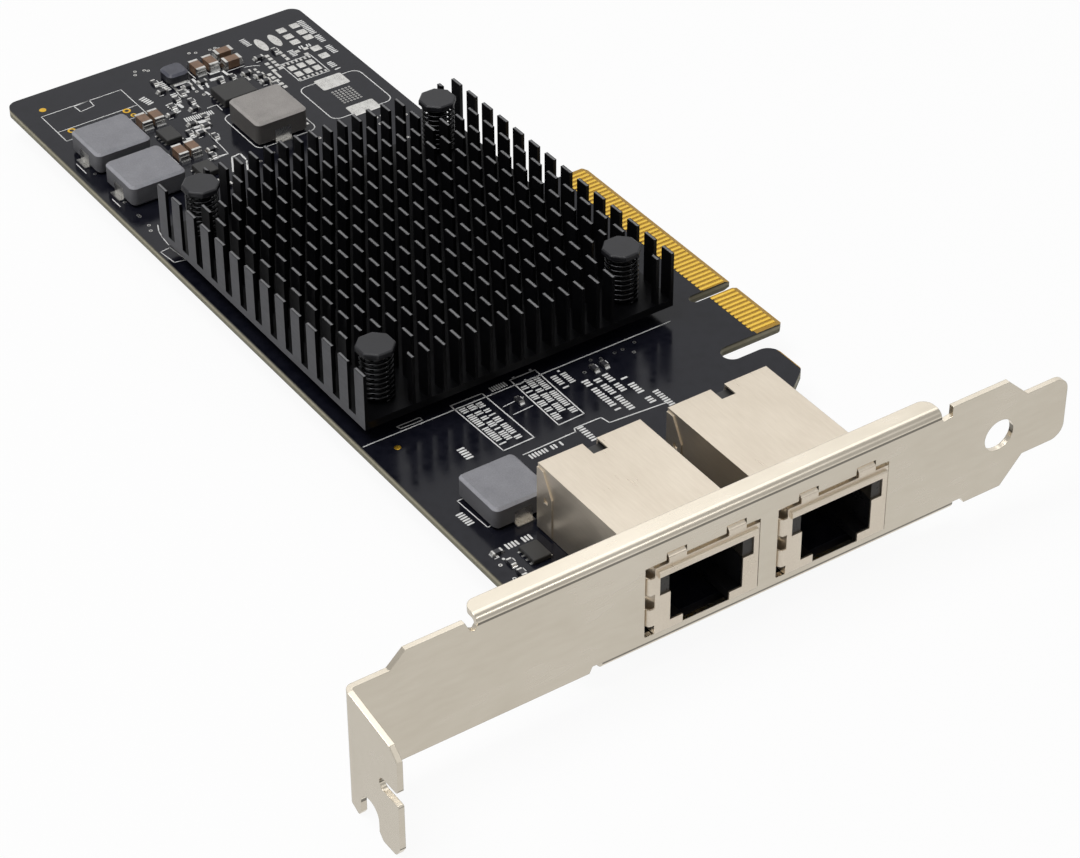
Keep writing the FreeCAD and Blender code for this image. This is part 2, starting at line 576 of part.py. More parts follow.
def makeChips():
    """Packaged chips on thin leads that come out along two sides."""
    leads = []
    chips = (("power_chip", "power", 5), ("regulator_chip_1", "regOne", 4),
             ("regulator_chip_2", "regTwo", 4), ("memory_chip", "memory", 4))
    for name, stem, count in chips:
        x, y = stem + "X", stem + "Y"
        long, wide, high = stem + "Long", stem + "Wide", stem + "High"
        mouldedBlock(name, x, y, long, wide, "chipLift", high, "smallRound / 3", "chipBevel")
        for i in range(count):
            place = "%s + (%d - %s) * %s / %d" % (x, i, (count - 1) / 2, long, count)
            for side in ("-", "+"):
                edge = "%s %s (%s / 2)" % (y, side, wide)
                front, back = (edge + " - leadOut", edge + " + leadOut")
                leads.append(box("Lead", place + " - leadWide / 2", place + " + leadWide / 2",
                                 front, back, "0", "chipLift"))
    group("chip_leads", leads)


def chipParts(spots, long, wide, high, end, low="0", name="Chip"):
    """Boxes for chips at (x, y, turned): their bodies, and their metal ends."""
    bodies, ends = [], []
    for x, y, turned in spots:
        spans = [(str(x), long), (str(y), wide)] if not turned else [(str(x), wide), (str(y), long)]
        (midX, spanX), (midY, spanY) = spans
        left, right = "%s - %s / 2" % (midX, spanX), "%s + %s / 2" % (midX, spanX)
        front, back = "%s - %s / 2" % (midY, spanY), "%s + %s / 2" % (midY, spanY)
        top = "%s + %s" % (low, high)
        if turned:
            bodies.append(box(name, left, right, front + " + " + end, back + " - " + end, low, top))
            ends.append(box(name + "End", left, right, front, front + " + " + end, low, top))
            ends.append(box(name + "End", left, right, back + " - " + end, back, low, top))
        else:
            bodies.append(box(name, left + " + " + end, right + " - " + end, front, back, low, top))
            ends.append(box(name + "End", left, left + " + " + end, front, back, low, top))
            ends.append(box(name + "End", right + " - " + end, right, front, back, low, top))
    return bodies, ends


def makeSmallParts():
    bigCaps = [(-101.0, -37.3, False), (-101.1, -34.7, False), (-102.6, -31.3, True), (-99.5, -31.4, True),
               (-91.3, -52.9, False), (-91.3, -50.6, False), (-79.6, -52.6, False), (-79.6, -50.3, False)]
    bodies, ends = chipParts(bigCaps, "bigCapLong", "bigCapWide", "bigCapHigh", "bigCapEnd", name="BrownCap")
    group("brown_capacitors", bodies)
    group("capacitor_ends", ends)
    resistors = [(-93.4, -46.3, False), (-91.4, -47.6, True), (-93.0, -42.9, False), (-90.8, -43.6, True),
                 (-97.6, -41.1, True), (-96.2, -42.9, False), (-87.6, -43.4, False), (-86.9, -46.2, True),
                 (-85.2, -44.6, True), (-83.6, -46.4, True), (-81.4, -45.0, False), (-98.6, -45.4, True),
                 (-101.6, -45.2, False), (-94.9, -44.7, False), (-97.4, -38.4, True), (-96.0, -35.6, False),
                 (-95.8, -33.4, False), (-95.6, -30.8, True), (-93.6, -29.4, True), (-91.6, -29.4, True),
                 (-89.6, -28.6, False), (-98.7, -26.6, True), (-99.0, -23.2, False), (-84.6, -48.0, False),
                 (-78.4, -47.4, True), (-76.6, -48.2, False), (-69.4, -50.6, True), (-67.6, -50.6, True),
                 (39.2, -65.6, False), (36.6, -65.6, False), (33.6, -66.0, True), (6.2, -30.4, False),
                 (6.2, -28.6, False), (6.4, -44.0, False), (28.4, -38.6, False), (30.9, -38.2, False)]
    bodies, ends = chipParts(resistors, "midChipLong", "midChipWide", "midChipHigh", "midChipEnd", name="Resistor")
    group("small_resistors", bodies)
    group("resistor_ends", ends)
    bypass = [("pinMidX + (%s) * bypassPitchX" % (i - 1.5), "pinMidY + (%s) * bypassPitchY" % (j - 1.5), False)
              for i in range(4) for j in range(4)]
    under = boardUnder + " - midChipHigh"
    bodies, ends = chipParts(bypass, "midChipLong", "midChipWide", "midChipHigh", "midChipEnd", under, "Bypass")
    group("bypass_capacitors", bodies)
    group("bypass_capacitor_ends", ends)


def makeShield(name, y):
    """The jack's folded metal shell: open underneath, with the plug's opening in front."""
    body = newBody(name)
    half = "jackWide / 2"
    block = newSketch(body, name + "Shell", "XY_Plane", "jackFeet")
    drawRectangle(block, jackRear, "jackFront", "%s - %s" % (y, half), "%s + %s" % (y, half))
    pad(body, block, "jackHigh - jackFeet")
    hollow = newSketch(body, name + "Hollow", "XY_Plane", "jackHigh - jackSheet")
    drawRectangle(hollow, jackRear + " + jackSheet", "jackFront - jackSheet",
                  "%s - %s + jackSheet" % (y, half), "%s + %s - jackSheet" % (y, half))
    pocket(body, hollow, "jackHigh")
    opening = newSketch(body, name + "Opening", "YZ_Plane", "jackFront + 1")
    window = "plugWide / 2 + " + windowWide
    drawOutline(opening, [
        (y + " - latchWide / 2", "0"), (y + " + latchWide / 2", "0"),
        (y + " + latchWide / 2", "plugLow"), (y + " + plugWide / 2", "plugLow"),
        (y + " + plugWide / 2", windowLow), ("%s + %s" % (y, window), windowLow),
        ("%s + %s" % (y, window), plugTop), ("%s - (%s)" % (y, window), plugTop),
        ("%s - (%s)" % (y, window), windowLow), (y + " - plugWide / 2", windowLow),
        (y + " - plugWide / 2", "plugLow"), (y + " - latchWide / 2", "plugLow"),
    ])
    pocket(body, opening, "1 + jackSheet")
    notch = newSketch(body, name + "Notch", "XY_Plane", "jackHigh + 1")
    drawRectangle(notch, jackRear + " - 1", jackRear + " + notchLong", y + " - notchWide / 2", y + " + notchWide / 2")
    pocket(body, notch, "1 + jackSheet * 4")
    # the sheet is hemmed outwards over the opening
    brow = newSketch(body, name + "Brow", "XZ_Plane", "-(%s + %s - sideBand / 2)" % (y, half))
    drawOutline(brow, [("jackFront", plugTop), ("jackFront + browDeep", plugTop, "browRound"),
                       ("jackFront + browDeep", plugTop + " + browHigh", "browRound"),
                       ("jackFront", plugTop + " + browHigh")])
    pad(body, brow, "jackWide - sideBand")
    # flaps of the rear wall fold round both sides, and legs go through the board
    for side, word in (("-", "Left"), ("+", "Right")):
        outer = "%s %s (%s)" % (y, side, half)
        flap = newSketch(body, name + "Flap" + word, "XZ_Plane", "-(%s)" % outer)
        drawOutline(flap, [(jackRear, "jackFeet + 0.3"), (jackRear + " + flapLong", "jackFeet + 0.3"),
                           (jackRear + " + flapLong", "jackHigh * 0.62"),
                           (jackRear + " + flapLong * 0.4", "jackHigh - 0.6"), (jackRear, "jackHigh - 0.6")])
        drawRectangle(flap, jackRear + " + flapLong / 2", jackRear + " + flapLong / 2 + flapHole",
                      "jackHigh / 2", "jackHigh / 2 + flapHole")
        pad(body, flap, "jackSheet * 0.7", reverse=(side == "+"))
        leg = newSketch(body, name + "Leg" + word, "XZ_Plane",
                        "-(%s %s (%s - jackSheet))" % (y, side, half))
        drawOutline(leg, [("legX - legWide / 2", "jackFeet + 1"), ("legX - legWide / 2", boardUnder + " - 0.6"),
                          ("legX - legWide / 4", boardUnder + " - tailLong"),
                          ("legX + legWide / 4", boardUnder + " - tailLong"),
                          ("legX + legWide / 2", boardUnder + " - 0.6"), ("legX + legWide / 2", "jackFeet + 1")])
        pad(body, leg, "jackSheet", reverse=(side == "+"))
    # sprung tongues that press on the bracket's window, two on top and two at the left
    front = "jackFront"
    for word, shift in (("A", "-tongueSpan / 2"), ("B", "tongueSpan / 2")):
        spring = newSketch(body, name + "Tongue" + word, "XZ_Plane",
                           "-(%s + %s + tongueWide / 2)" % (y, shift))
        drawOutline(spring, [
            (front, "jackHigh - 0.2"), (front, "jackHigh + 0.85", "0.5"),
            (front + " - 0.75", "jackHigh + 1.4", "0.5"), (front + " - 4", "jackHigh + tongueSheet"),
            (front + " - 4.2", "jackHigh"), (front + " - 3.6", "jackHigh"),
            (front + " - 0.85", "jackHigh + 1.4 - 1.3 * tongueSheet"),
            (front + " - tongueSheet", "jackHigh + 0.75"), (front + " - tongueSheet", "jackHigh - 0.2"),
        ])
        pad(body, spring, "tongueWide")
    side = "%s - %s" % (y, half)
    for word, low in (("C", "1.7"), ("D", "7.1")):
        spring = newSketch(body, name + "Tongue" + word, "XY_Plane", low)
        drawOutline(spring, [
            (front, side + " + 0.2"), (front + " - tongueSheet", side + " + 0.2"),
            (front + " - tongueSheet", side + " - 0.65"), (front + " - 0.85", side + " - 0.95"),
            (front + " - 3.6", side), (front + " - 4.2", side), (front + " - 4", side + " - tongueSheet"),
            (front + " - 0.75", side + " - 1.25", "0.45"), (front, side + " - 0.75", "0.45"),
        ])
        pad(body, spring, "sideTongueWide")


def makeHousing(name, y):
    """Black insulator in the front half of the jack, with the plug's cavity."""
    body = newBody(name)
    inner = "jackWide / 2 - jackSheet - jackInner"
    rear = "jackFront - jackSheet - housingLong"
    top = "jackHigh - jackSheet"
    block = newSketch(body, name + "Block", "XY_Plane", "jackFeet")
    drawRectangle(block, rear, "jackFront - jackSheet", "%s - (%s)" % (y, inner), "%s + %s" % (y, inner))
    pad(body, block, top + " - jackFeet")
    cavity = newSketch(body, name + "Cavity", "YZ_Plane", "jackFront + 1")
    drawRectangle(cavity, y + " - plugWide / 2", y + " + plugWide / 2", "plugLow", plugTop)
    pocket(body, cavity, "1 + plugDeep")
    latch = newSketch(body, name + "Latch", "YZ_Plane", "jackFront + 1")
    drawRectangle(latch, y + " - latchWide / 2", y + " + latchWide / 2", "jackFeet - 1", "plugLow + 0.1")
    pocket(body, latch, "1 + latchDeep")
    windows = newSketch(body, name + "Windows", "YZ_Plane", "jackFront + 1")
    for side in ("-", "+"):
        near = "%s %s (plugWide / 2 - 0.01)" % (y, side)
        far = "%s %s (plugWide / 2 + %s)" % (y, side, windowWide)
        edges = (near, far) if side == "+" else (far, near)
        drawRectangle(windows, edges[0], edges[1], windowLow, plugTop)
    pocket(body, windows, "1 + jackSheet + housingLong + 1")
    pegs = newSketch(body, name + "Pegs", "XY_Plane", "jackFeet + 0.5")
    for side in ("-", "+"):
        drawCircle(pegs, "pegX", "%s %s pegSpan / 2" % (y, side), "pegRadius")
    pad(body, pegs, "boardThick + jackFeet + 0.7", reverse=True)
    guides = newBody(name.replace("housing", "light_guides"))
    for side, word in (("-", "Left"), ("+", "Right")):
        sketch = newSketch(guides, name + "Guide" + word, "YZ_Plane", rear)
        near = "%s %s (plugWide / 2 + windowGap)" % (y, side)
        far = "%s %s (plugWide / 2 + %s - windowGap / 3)" % (y, side, windowWide)
        edges = (near, far) if side == "+" else (far, near)
        drawRectangle(sketch, edges[0], edges[1], windowLow + " + windowGap / 3", plugTop + " - windowGap / 3")
        pad(guides, sketch, "housingLong")
    magnetics = newBody(name.replace("housing", "magnetics"))
    sketch = newSketch(magnetics, name + "Magnetics", "XY_Plane", "jackFeet + 0.3")
    drawRectangle(sketch, jackRear + " + jackSheet + jackInner", rear, "%s - (%s)" % (y, inner),
                  "%s + %s" % (y, inner), "smallRound")
    pad(magnetics, sketch, top + " - 0.9")
    wires = newBody(name.replace("housing", "contacts"))
    sketch = newSketch(wires, name + "Wire", "XZ_Plane",
                       "-(%s - (contacts - 1) * contactPitch / 2 + contactWide / 2)" % y)
    drawOutline(sketch, [("jackFront - 2.6", plugTop), ("jackFront - 3.2", plugTop),
                         ("jackFront - 3.3", plugTop + " - 0.55"), ("jackFront - 10.2", plugTop + " - contactDrop"),
                         ("jackFront - 10.1", plugTop + " - contactDrop - 0.3"),
                         ("jackFront - 2.8", plugTop + " - 0.7")])
    pad(wires, sketch, "contactWide")
    repeat(wires, None, "Y_Axis", "(contacts - 1) * contactPitch", "contacts")
    tails = []
    for x, place in tailSpots(y):
        tails.append(box("Tail", x + " - tailWide / 2", x + " + tailWide / 2", place + " - tailWide / 2",
                         place + " + tailWide / 2", boardUnder + " - tailLong", "jackFeet + 0.3"))
    group(name.replace("housing", "pins"), tails)


def makeBracket():
    """One folded sheet: face, tab, tongue plate, top flange, bottom lip and two ears."""
    body = newBody("bracket")
    tabFlat = "tabOuter + " + foldOuter
    foldTop = "%s - (%s)" % (faceTop, foldOuter)
    lipUnder = boardUnder + " - sheet"
    foldLow = "%s + %s" % (lipUnder, foldOuter)
    plateEnd = "tabOuter + bracketLong"
    plateLow = "tonguePlateMid - tonguePlateWide / 2"
    plateTop = "tonguePlateMid + tonguePlateWide / 2"
    cheek = plateEnd + " - tonguePlateLong - cheekRun"
    face = newSketch(body, "FaceOutline", "YZ_Plane", faceInner)
    drawOutline(face, [
        (tabFlat, "faceLow"),
        ("lipLeft - lipNotchWide", "faceLow"), ("lipLeft - lipNotchWide + 0.5", "faceLow + lipNotch"),
        ("lipLeft", "faceLow + lipNotch"), ("lipLeft", foldLow),
        ("lipRight", foldLow), ("lipRight", "faceLow + lipNotch"),
        ("lipRight + lipNotchWide - 0.5", "faceLow + lipNotch"), ("lipRight + lipNotchWide", "faceLow"),
        (cheek, "faceLow"), (cheek + " + cheekRun", plateLow), (plateEnd, plateLow, "plateRound"),
        (plateEnd, plateTop, "plateRound"), (cheek + " + cheekRun", plateTop), (cheek, faceTop),
        ("flangeRight + reliefWide", faceTop), ("flangeRight + reliefWide", foldTop + " - reliefDeep / 2"),
        ("flangeRight + 0.4", foldTop + " - reliefDeep"), ("flangeRight", foldTop),
        ("flangeLeft", foldTop), ("flangeLeft - 0.4", foldTop + " - reliefDeep"),
        ("flangeLeft - reliefWide * 0.6", foldTop + " - reliefDeep / 2"), ("flangeLeft - reliefWide", faceTop),
        ("shoulderLeft", faceTop), ("shoulderLeft - shoulderRun", "tabTop"), (tabFlat, "tabTop"),
    ])
    pad(body, face, "sheet")
    # the tab's fold and the tab, with its screw slot and side notch
    fold = newSketch(body, "TabFold", "XY_Plane", "tabLow + 0.7")
    makeFold(fold, "faceOuter + foldInner", tabFlat, 180, 270)
    pad(body, fold, "tabTop - tabLow - 0.7")
    tab = newSketch(body, "TabOutline", "XZ_Plane", "-(tabOuter + sheet)")
    tabEnd = "faceOuter + tabOut"
    slot = "faceOuter + slotMiddle"
    drawOutline(tab, [
        ("faceOuter + foldInner", "tabLow + 0.7"), (slot + " - slotWide / 2 - 0.6", "tabLow", "0.4"),
        (slot + " - slotWide / 2", "tabLow + 1"),
        (slot + " - slotWide / 2", "slotTop", "slotWide / 2 - 0.02"),
        (slot + " + slotWide / 2", "slotTop", "slotWide / 2 - 0.02"),
        (slot + " + slotWide / 2", "tabLow + 1"), (slot + " + slotWide / 2 + 0.9", "tabLow", "0.6"),
        (tabEnd + " - 1", "tabLow", "0.9"), (tabEnd, "tabLow + 1.6", "0.9"),
        (tabEnd, "notchLow", "0.3"), (tabEnd + " - notchDeep", "notchLow", "(notchTop - notchLow) / 2 - 0.05"),
        (tabEnd + " - notchDeep", "notchTop", "(notchTop - notchLow) / 2 - 0.05"), (tabEnd, "notchTop", "0.6"),
        (tabEnd, "tabTopOut - tabCorner"), (tabEnd + " - tabCorner", "tabTopOut"),
        ("faceOuter + foldInner", "tabTop"),
    ])
    pad(body, tab, "sheet")
    # the top flange folds in over the jacks
    flange = newSketch(body, "FlangeProfile", "XZ_Plane", "-flangeRight")
    makeFlange(flange, "%s - foldInner" % faceInner, foldTop, faceTop, "faceOuter - flangeDeep", 1)
    fold = pad(body, flange, "flangeRight - flangeLeft")
    inner = valueOf("faceOuter - flangeDeep")
    dressEdges(body, "Fillet", fold, "flangeRound",
               lambda edge: uprightAt(edge, inner))
    # the bottom lip folds in under the board, and carries the two ears
    lip = newSketch(body, "LipProfile", "XZ_Plane", "-lipRight")
    makeFlange(lip, "%s - foldInner" % faceInner, foldLow, lipUnder, "faceOuter - lipDeep", -1)
    pad(body, lip, "lipRight - lipLeft")
    ears = newSketch(body, "EarOutlines", "XY_Plane", lipUnder)
    for y in screwYs:
        drawOutline(ears, [
            ("faceOuter - earDeep", y + " - earWide / 2", "earRound"),
            ("faceOuter - lipDeep + 0.3", y + " - earWide / 2"), ("faceOuter - lipDeep + 0.3", y + " + earWide / 2"),
            ("faceOuter - earDeep", y + " + earWide / 2", "earRound"),
        ])
    pad(body, ears, "sheet")
    holes = newSketch(body, "EarHoles", "XY_Plane", boardUnder)
    for y in screwYs:
        drawCircle(holes, "screwX", y, "earHole")
    pocket(body, holes, "sheet")
    windows = newSketch(body, "JackWindows", "YZ_Plane", "faceOuter")
    for y in jackYs:
        left, right = y + " - jackWide / 2 - windowLeftPlay", y + " + jackWide / 2 + windowRightPlay"
        top = "jackHigh + windowTopPlay"
        corners = [(left, "windowLowZ", "0.3"), (right, "windowLowZ"), (right, top)]
        for shift in ("tongueSpan / 2", "-tongueSpan / 2"):
            near = "%s + %s + tongueWide / 2 + tongueNotchPlay" % (y, shift)
            far = "%s + %s - tongueWide / 2 - tongueNotchPlay" % (y, shift)
            peak = "jackHigh + tongueNotchHigh"
            corners += [(near, top), (near, peak), (far, peak), (far, top)]
        corners.append((left, top))
        drawOutline(windows, corners)
    pocket(body, windows, "sheet")
    hole = newSketch(body, "FaceHole", "YZ_Plane", "faceOuter")
    drawCircle(hole, "bracketHoleY", "tonguePlateMid", "bracketHole")
    pocket(body, hole, "sheet")


def makeFold(sketch, x, y, start, end):
    """A quarter ring of the sheet about x, y, between two angles in degrees."""
    centre = FreeCAD.Vector(valueOf(x), valueOf(y), 0)
    inner, outer = valueOf("foldInner"), valueOf(foldOuter)
    low, high = math.radians(start), math.radians(end)
    rings = [sketch.addGeometry(Part.ArcOfCircle(Part.Circle(centre, FreeCAD.Vector(0, 0, 1), r), low, high))
             for r in (inner, outer)]
    ends = []
    for angle in (low, high):
        way = FreeCAD.Vector(math.cos(angle), math.sin(angle), 0)
        ends.append(sketch.addGeometry(Part.LineSegment(centre + way * inner, centre + way * outer)))
    for ring, radius in zip(rings, ("foldInner", foldOuter)):
        bindPoint(sketch, ring, 3, x, y)
        number = sketch.addConstraint(Sketcher.Constraint("Radius", ring, valueOf(radius)))
        sketch.setExpression("Constraints[%d]" % number, formula(radius))
    for point, (line, angle) in enumerate(zip(ends, (start, end)), start=1):
        sketch.addConstraint(Sketcher.Constraint("Coincident", rings[0], point, line, 1))
        sketch.addConstraint(Sketcher.Constraint("Coincident", rings[1], point, line, 2))
        sketch.addConstraint(Sketcher.Constraint("Horizontal" if angle % 180 == 0 else "Vertical", line))


def makeFlange(sketch, x, level, outside, inner, up):
    """Section of a flange folded inwards: a quarter ring about x, level, and a flat."""
    centre = FreeCAD.Vector(valueOf(x), valueOf(level), 0)
    small, large = valueOf("foldInner"), valueOf(foldOuter)
    low, high = (0, math.pi / 2) if up > 0 else (-math.pi / 2, 0)
    rings = [sketch.addGeometry(Part.ArcOfCircle(Part.Circle(centre, FreeCAD.Vector(0, 0, 1), r), low, high))
             for r in (small, large)]
    first, last = (1, 2) if up > 0 else (2, 1)
    root = FreeCAD.Vector(1, 0, 0)
    rise = FreeCAD.Vector(0, up, 0)
    run = FreeCAD.Vector(valueOf(inner) - centre.x, 0, 0)
    foot = sketch.addGeometry(Part.LineSegment(centre + root * small, centre + root * large))
    upper = sketch.addGeometry(Part.LineSegment(centre + rise * large, centre + rise * large + run))
    end = sketch.addGeometry(Part.LineSegment(centre + rise * large + run, centre + rise * small + run))
    lower = sketch.addGeometry(Part.LineSegment(centre + rise * small + run, centre + rise * small))
    for ring, radius in zip(rings, ("foldInner", foldOuter)):
        bindPoint(sketch, ring, 3, x, level)
        number = sketch.addConstraint(Sketcher.Constraint("Radius", ring, valueOf(radius)))
        sketch.setExpression("Constraints[%d]" % number, formula(radius))
    sketch.addConstraint(Sketcher.Constraint("Coincident", rings[0], first, foot, 1))
    sketch.addConstraint(Sketcher.Constraint("Coincident", rings[1], first, foot, 2))
    sketch.addConstraint(Sketcher.Constraint("Horizontal", foot))
    sketch.addConstraint(Sketcher.Constraint("Tangent", rings[1], last, upper, 1))
    sketch.addConstraint(Sketcher.Constraint("Tangent", rings[0], last, lower, 2))
    sketch.addConstraint(Sketcher.Constraint("Coincident", upper, 2, end, 1))
    sketch.addConstraint(Sketcher.Constraint("Coincident", end, 2, lower, 1))
    sketch.addConstraint(Sketcher.Constraint("Horizontal", upper))
    sketch.addConstraint(Sketcher.Constraint("Horizontal", lower))
    sketch.addConstraint(Sketcher.Constraint("Vertical", end))
    number = sketch.addConstraint(Sketcher.Constraint("DistanceX", -1, 1, end, 1, valueOf(inner)))
    sketch.setExpression("Constraints[%d]" % number, formula(inner))


def makeScrews():
    """Two pan-head screws, down through the board into the bracket's ears."""
    body = newBody("bracket_screws")
    for number, y in enumerate(screwYs):
        shank = newSketch(body, "ScrewShank%d" % number, "XY_Plane", "0")
        drawCircle(shank, "screwX", y, "screwShank")
        pad(body, shank, "screwLong", reverse=True)
        head = newSketch(body, "ScrewHead%d" % number, "XY_Plane", "0")
        drawCircle(head, "screwX", y, "screwHead")
        pad(body, head, "screwHeadHigh")
        cross = newSketch(body, "ScrewCross%d" % number, "XY_Plane", "screwHeadHigh")
        long, thin = "screwHead * 0.6", "0.3"
        ring = [(long, thin), (thin, thin), (thin, long), ("-" + thin, long), ("-" + thin, thin),
                ("-(%s)" % long, thin), ("-(%s)" % long, "-" + thin), ("-" + thin, "-" + thin),
                ("-" + thin, "-(%s)" % long), (thin, "-(%s)" % long), (thin, "-" + thin), (long, "-" + thin)]
        drawOutline(cross, [("screwX + " + a, "%s + %s" % (y, b)) for a, b in ring])
        pocket(body, cross, "screwSocket")


makeBoard()
makeContacts()
makeController()
makeHeatSink()
makePushPins()
makeSprings()
makeInductors()
makeChips()
makeSmallParts()
for jackNumber, jackY in enumerate(jackYs, start=1):
    makeShield("jack_%d_shield" % jackNumber, jackY)
    makeHousing("jack_%d_housing" % jackNumber, jackY)
makeBracket()
makeScrews()
doc.recompute()

faults = [item.Name for item in doc.Objects if "Invalid" in item.State or "Error" in item.State]
faults += [name for name, item in nodes.items() if item.Shape.isNull() or not item.Shape.isValid()]
for cut in pockets:
    if not cut.Shape.isNull() and cut.Shape.Volume > cut.BaseFeature.Shape.Volume - 1e-6:
        faults.append(cut.Name + " cuts nothing")
if faults:
    raise RuntimeError("faulty objects: " + ", ".join(faults))

os.makedirs("parts", exist_ok=True)
for name, item in nodes.items():
    item.Shape.exportStep("parts/" + name + ".step")
    print(name, len(item.Shape.Solids), "solids,", round(item.Shape.Volume, 2), "mm3")
print(len(nodes), "nodes")
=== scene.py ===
import math
import random
import bmesh
import bpy
from mathutils import Matrix, Vector


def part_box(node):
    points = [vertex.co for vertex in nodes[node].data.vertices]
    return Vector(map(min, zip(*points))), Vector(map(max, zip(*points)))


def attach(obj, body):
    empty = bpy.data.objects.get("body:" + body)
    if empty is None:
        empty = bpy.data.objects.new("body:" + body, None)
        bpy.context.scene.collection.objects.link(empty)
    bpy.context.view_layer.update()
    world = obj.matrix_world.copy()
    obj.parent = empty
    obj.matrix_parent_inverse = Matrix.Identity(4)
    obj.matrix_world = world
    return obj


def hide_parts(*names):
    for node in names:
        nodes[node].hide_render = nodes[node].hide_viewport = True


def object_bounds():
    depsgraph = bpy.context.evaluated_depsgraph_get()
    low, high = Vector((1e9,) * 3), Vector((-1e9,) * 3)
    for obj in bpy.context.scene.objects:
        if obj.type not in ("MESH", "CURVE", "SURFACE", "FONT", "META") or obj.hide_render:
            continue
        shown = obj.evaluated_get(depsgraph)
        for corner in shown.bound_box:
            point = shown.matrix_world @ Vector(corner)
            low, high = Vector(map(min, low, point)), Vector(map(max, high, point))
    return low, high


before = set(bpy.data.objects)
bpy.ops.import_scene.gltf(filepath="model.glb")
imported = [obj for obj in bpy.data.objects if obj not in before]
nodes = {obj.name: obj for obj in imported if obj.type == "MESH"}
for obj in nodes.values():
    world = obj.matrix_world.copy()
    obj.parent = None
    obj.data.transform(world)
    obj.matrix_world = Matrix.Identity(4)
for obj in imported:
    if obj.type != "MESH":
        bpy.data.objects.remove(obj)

mm = 0.001
cadLow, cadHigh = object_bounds()
bpy.context.scene.view_settings.view_transform = "Standard"
weldGap = 0.001 * mm  # corners of a mesh that lie closer are one corner


# Small helpers for working the way one does by hand

def clearSelection():
    if bpy.context.mode != "OBJECT":
        bpy.ops.object.mode_set(mode="OBJECT")
    bpy.ops.object.select_all(action="DESELECT")


def selectOnly(piece):
    clearSelection()
    piece.select_set(True)
    bpy.context.view_layer.objects.active = piece


def bakePlace(piece):
    selectOnly(piece)
    bpy.ops.object.transform_apply(location=True, rotation=True, scale=True)


def startEdit(piece):
    selectOnly(piece)
    bpy.ops.object.mode_set(mode="EDIT")
    bpy.ops.mesh.select_all(action="DESELECT")


def endEdit():
    bpy.ops.object.mode_set(mode="OBJECT")


def selectAll():
    bpy.ops.mesh.select_all(action="SELECT")


def pick(piece, kind, test):
    # selects the faces, edges or points that pass the test
    bpy.ops.mesh.select_mode(type=kind)
    mesh = bmesh.from_edit_mesh(piece.data)
    for part in {"FACE": mesh.faces, "EDGE": mesh.edges, "VERT": mesh.verts}[kind]:
        part.select_set(bool(test(part)))
    mesh.select_flush_mode()
    bmesh.update_edit_mesh(piece.data)


def closeUp():
    # turns all faces outwards and leaves edit mode
    selectAll()
    bpy.ops.mesh.normals_make_consistent(inside=False)
    endEdit()


def thicken(height):
    bpy.ops.mesh.extrude_region_move(TRANSFORM_OT_translate={"value": (0.0, 0.0, height)})


def keepRim(width, height):
    # leaves a rim of the selected face and thickens it
    bpy.ops.mesh.inset(thickness=width, depth=0.0)
    bpy.ops.mesh.delete(type="FACE")
    selectAll()
    thicken(height)
    closeUp()


def startPlate(corner):
    # a unit square with rounded corners, left selected in edit mode
    clearSelection()
    bpy.ops.mesh.primitive_plane_add(size=1.0, location=(0.0, 0.0, 0.0))
    plate = bpy.context.object
    startEdit(plate)
    selectAll()
    bpy.ops.mesh.bevel(offset=corner, segments=2, affect="VERTICES")
    return plate


def startDisc(sides):
    # a round plate of radius 1, left selected in edit mode
    clearSelection()
    bpy.ops.mesh.primitive_circle_add(
        vertices=sides, radius=1.0, fill_type="NGON", location=(0.0, 0.0, 0.0))
    disc = bpy.context.object
    startEdit(disc)
    selectAll()
    return disc


def stamp(pattern, x, y, z, turn=0.0, size=(1.0, 1.0, 1.0)):
    # one copy of a pattern piece, with its own mesh
    copy = pattern.copy()
    copy.data = pattern.data.copy()
    bpy.context.scene.collection.objects.link(copy)
    place = Matrix.Translation((x, y, z)) @ Matrix.Rotation(turn, 4, "Z")
    copy.data.transform(place @ Matrix.Diagonal((size[0], size[1], size[2], 1.0)))
    if size[0] * size[1] * size[2] < 0:
        copy.data.flip_normals()
    return copy


def lay(pattern, x, y, wide, high, level=0.0):
    # a copy of a flat pattern, its place and size in millimetres
    return stamp(pattern, x * mm, y * mm, level, 0.0, (wide * mm, high * mm, 1.0))


def gather(name, parts, material):
    # joins finished copies to one piece that rides on the card
    clearSelection()
    for part in parts:
        part.select_set(True)
    bpy.context.view_layer.objects.active = parts[0]
    if len(parts) > 1:
        bpy.ops.object.join()
    piece = bpy.context.view_layer.objects.active
    piece.name = name
    piece.data.name = name
    piece.data.materials.clear()
    piece.data.materials.append(material)
    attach(piece, "root")
    return piece


def drop(*patterns):
    for pattern in patterns:
        bpy.data.objects.remove(pattern)


def solidBoxes(name):
    # lowest and highest corner of every separate solid in a node
    mesh = bmesh.new()
    mesh.from_mesh(nodes[name].data)
    bmesh.ops.remove_doubles(mesh, verts=mesh.verts, dist=weldGap)
    boxes = []
    seen = set()
    for first in mesh.verts:
        if first in seen:
            continue
        seen.add(first)
        waiting = [first]
        low = first.co.copy()
        high = first.co.copy()
        while waiting:
            point = waiting.pop()
            low = Vector(map(min, low, point.co))
            high = Vector(map(max, high, point.co))
            for edge in point.link_edges:
                other = edge.other_vert(point)
                if other not in seen:
                    seen.add(other)
                    waiting.append(other)
        boxes.append((low, high))
    mesh.free()
    return boxes


# Finishes. Sizes of grain and patches are in metres, on Object coordinates
squareOn = 0.9  # a normal this close to an axis faces along it
grainRange = (0.3, 0.7)  # nearly all of a noise lies between these
grainDetail = 4.0
patchDetail = 2.0
edgeSamples = 6


def newMaterial(name):
    material = bpy.data.materials.new(name)
    material.use_nodes = True
    tree = material.node_tree
    return material, tree, tree.nodes["Principled BSDF"]


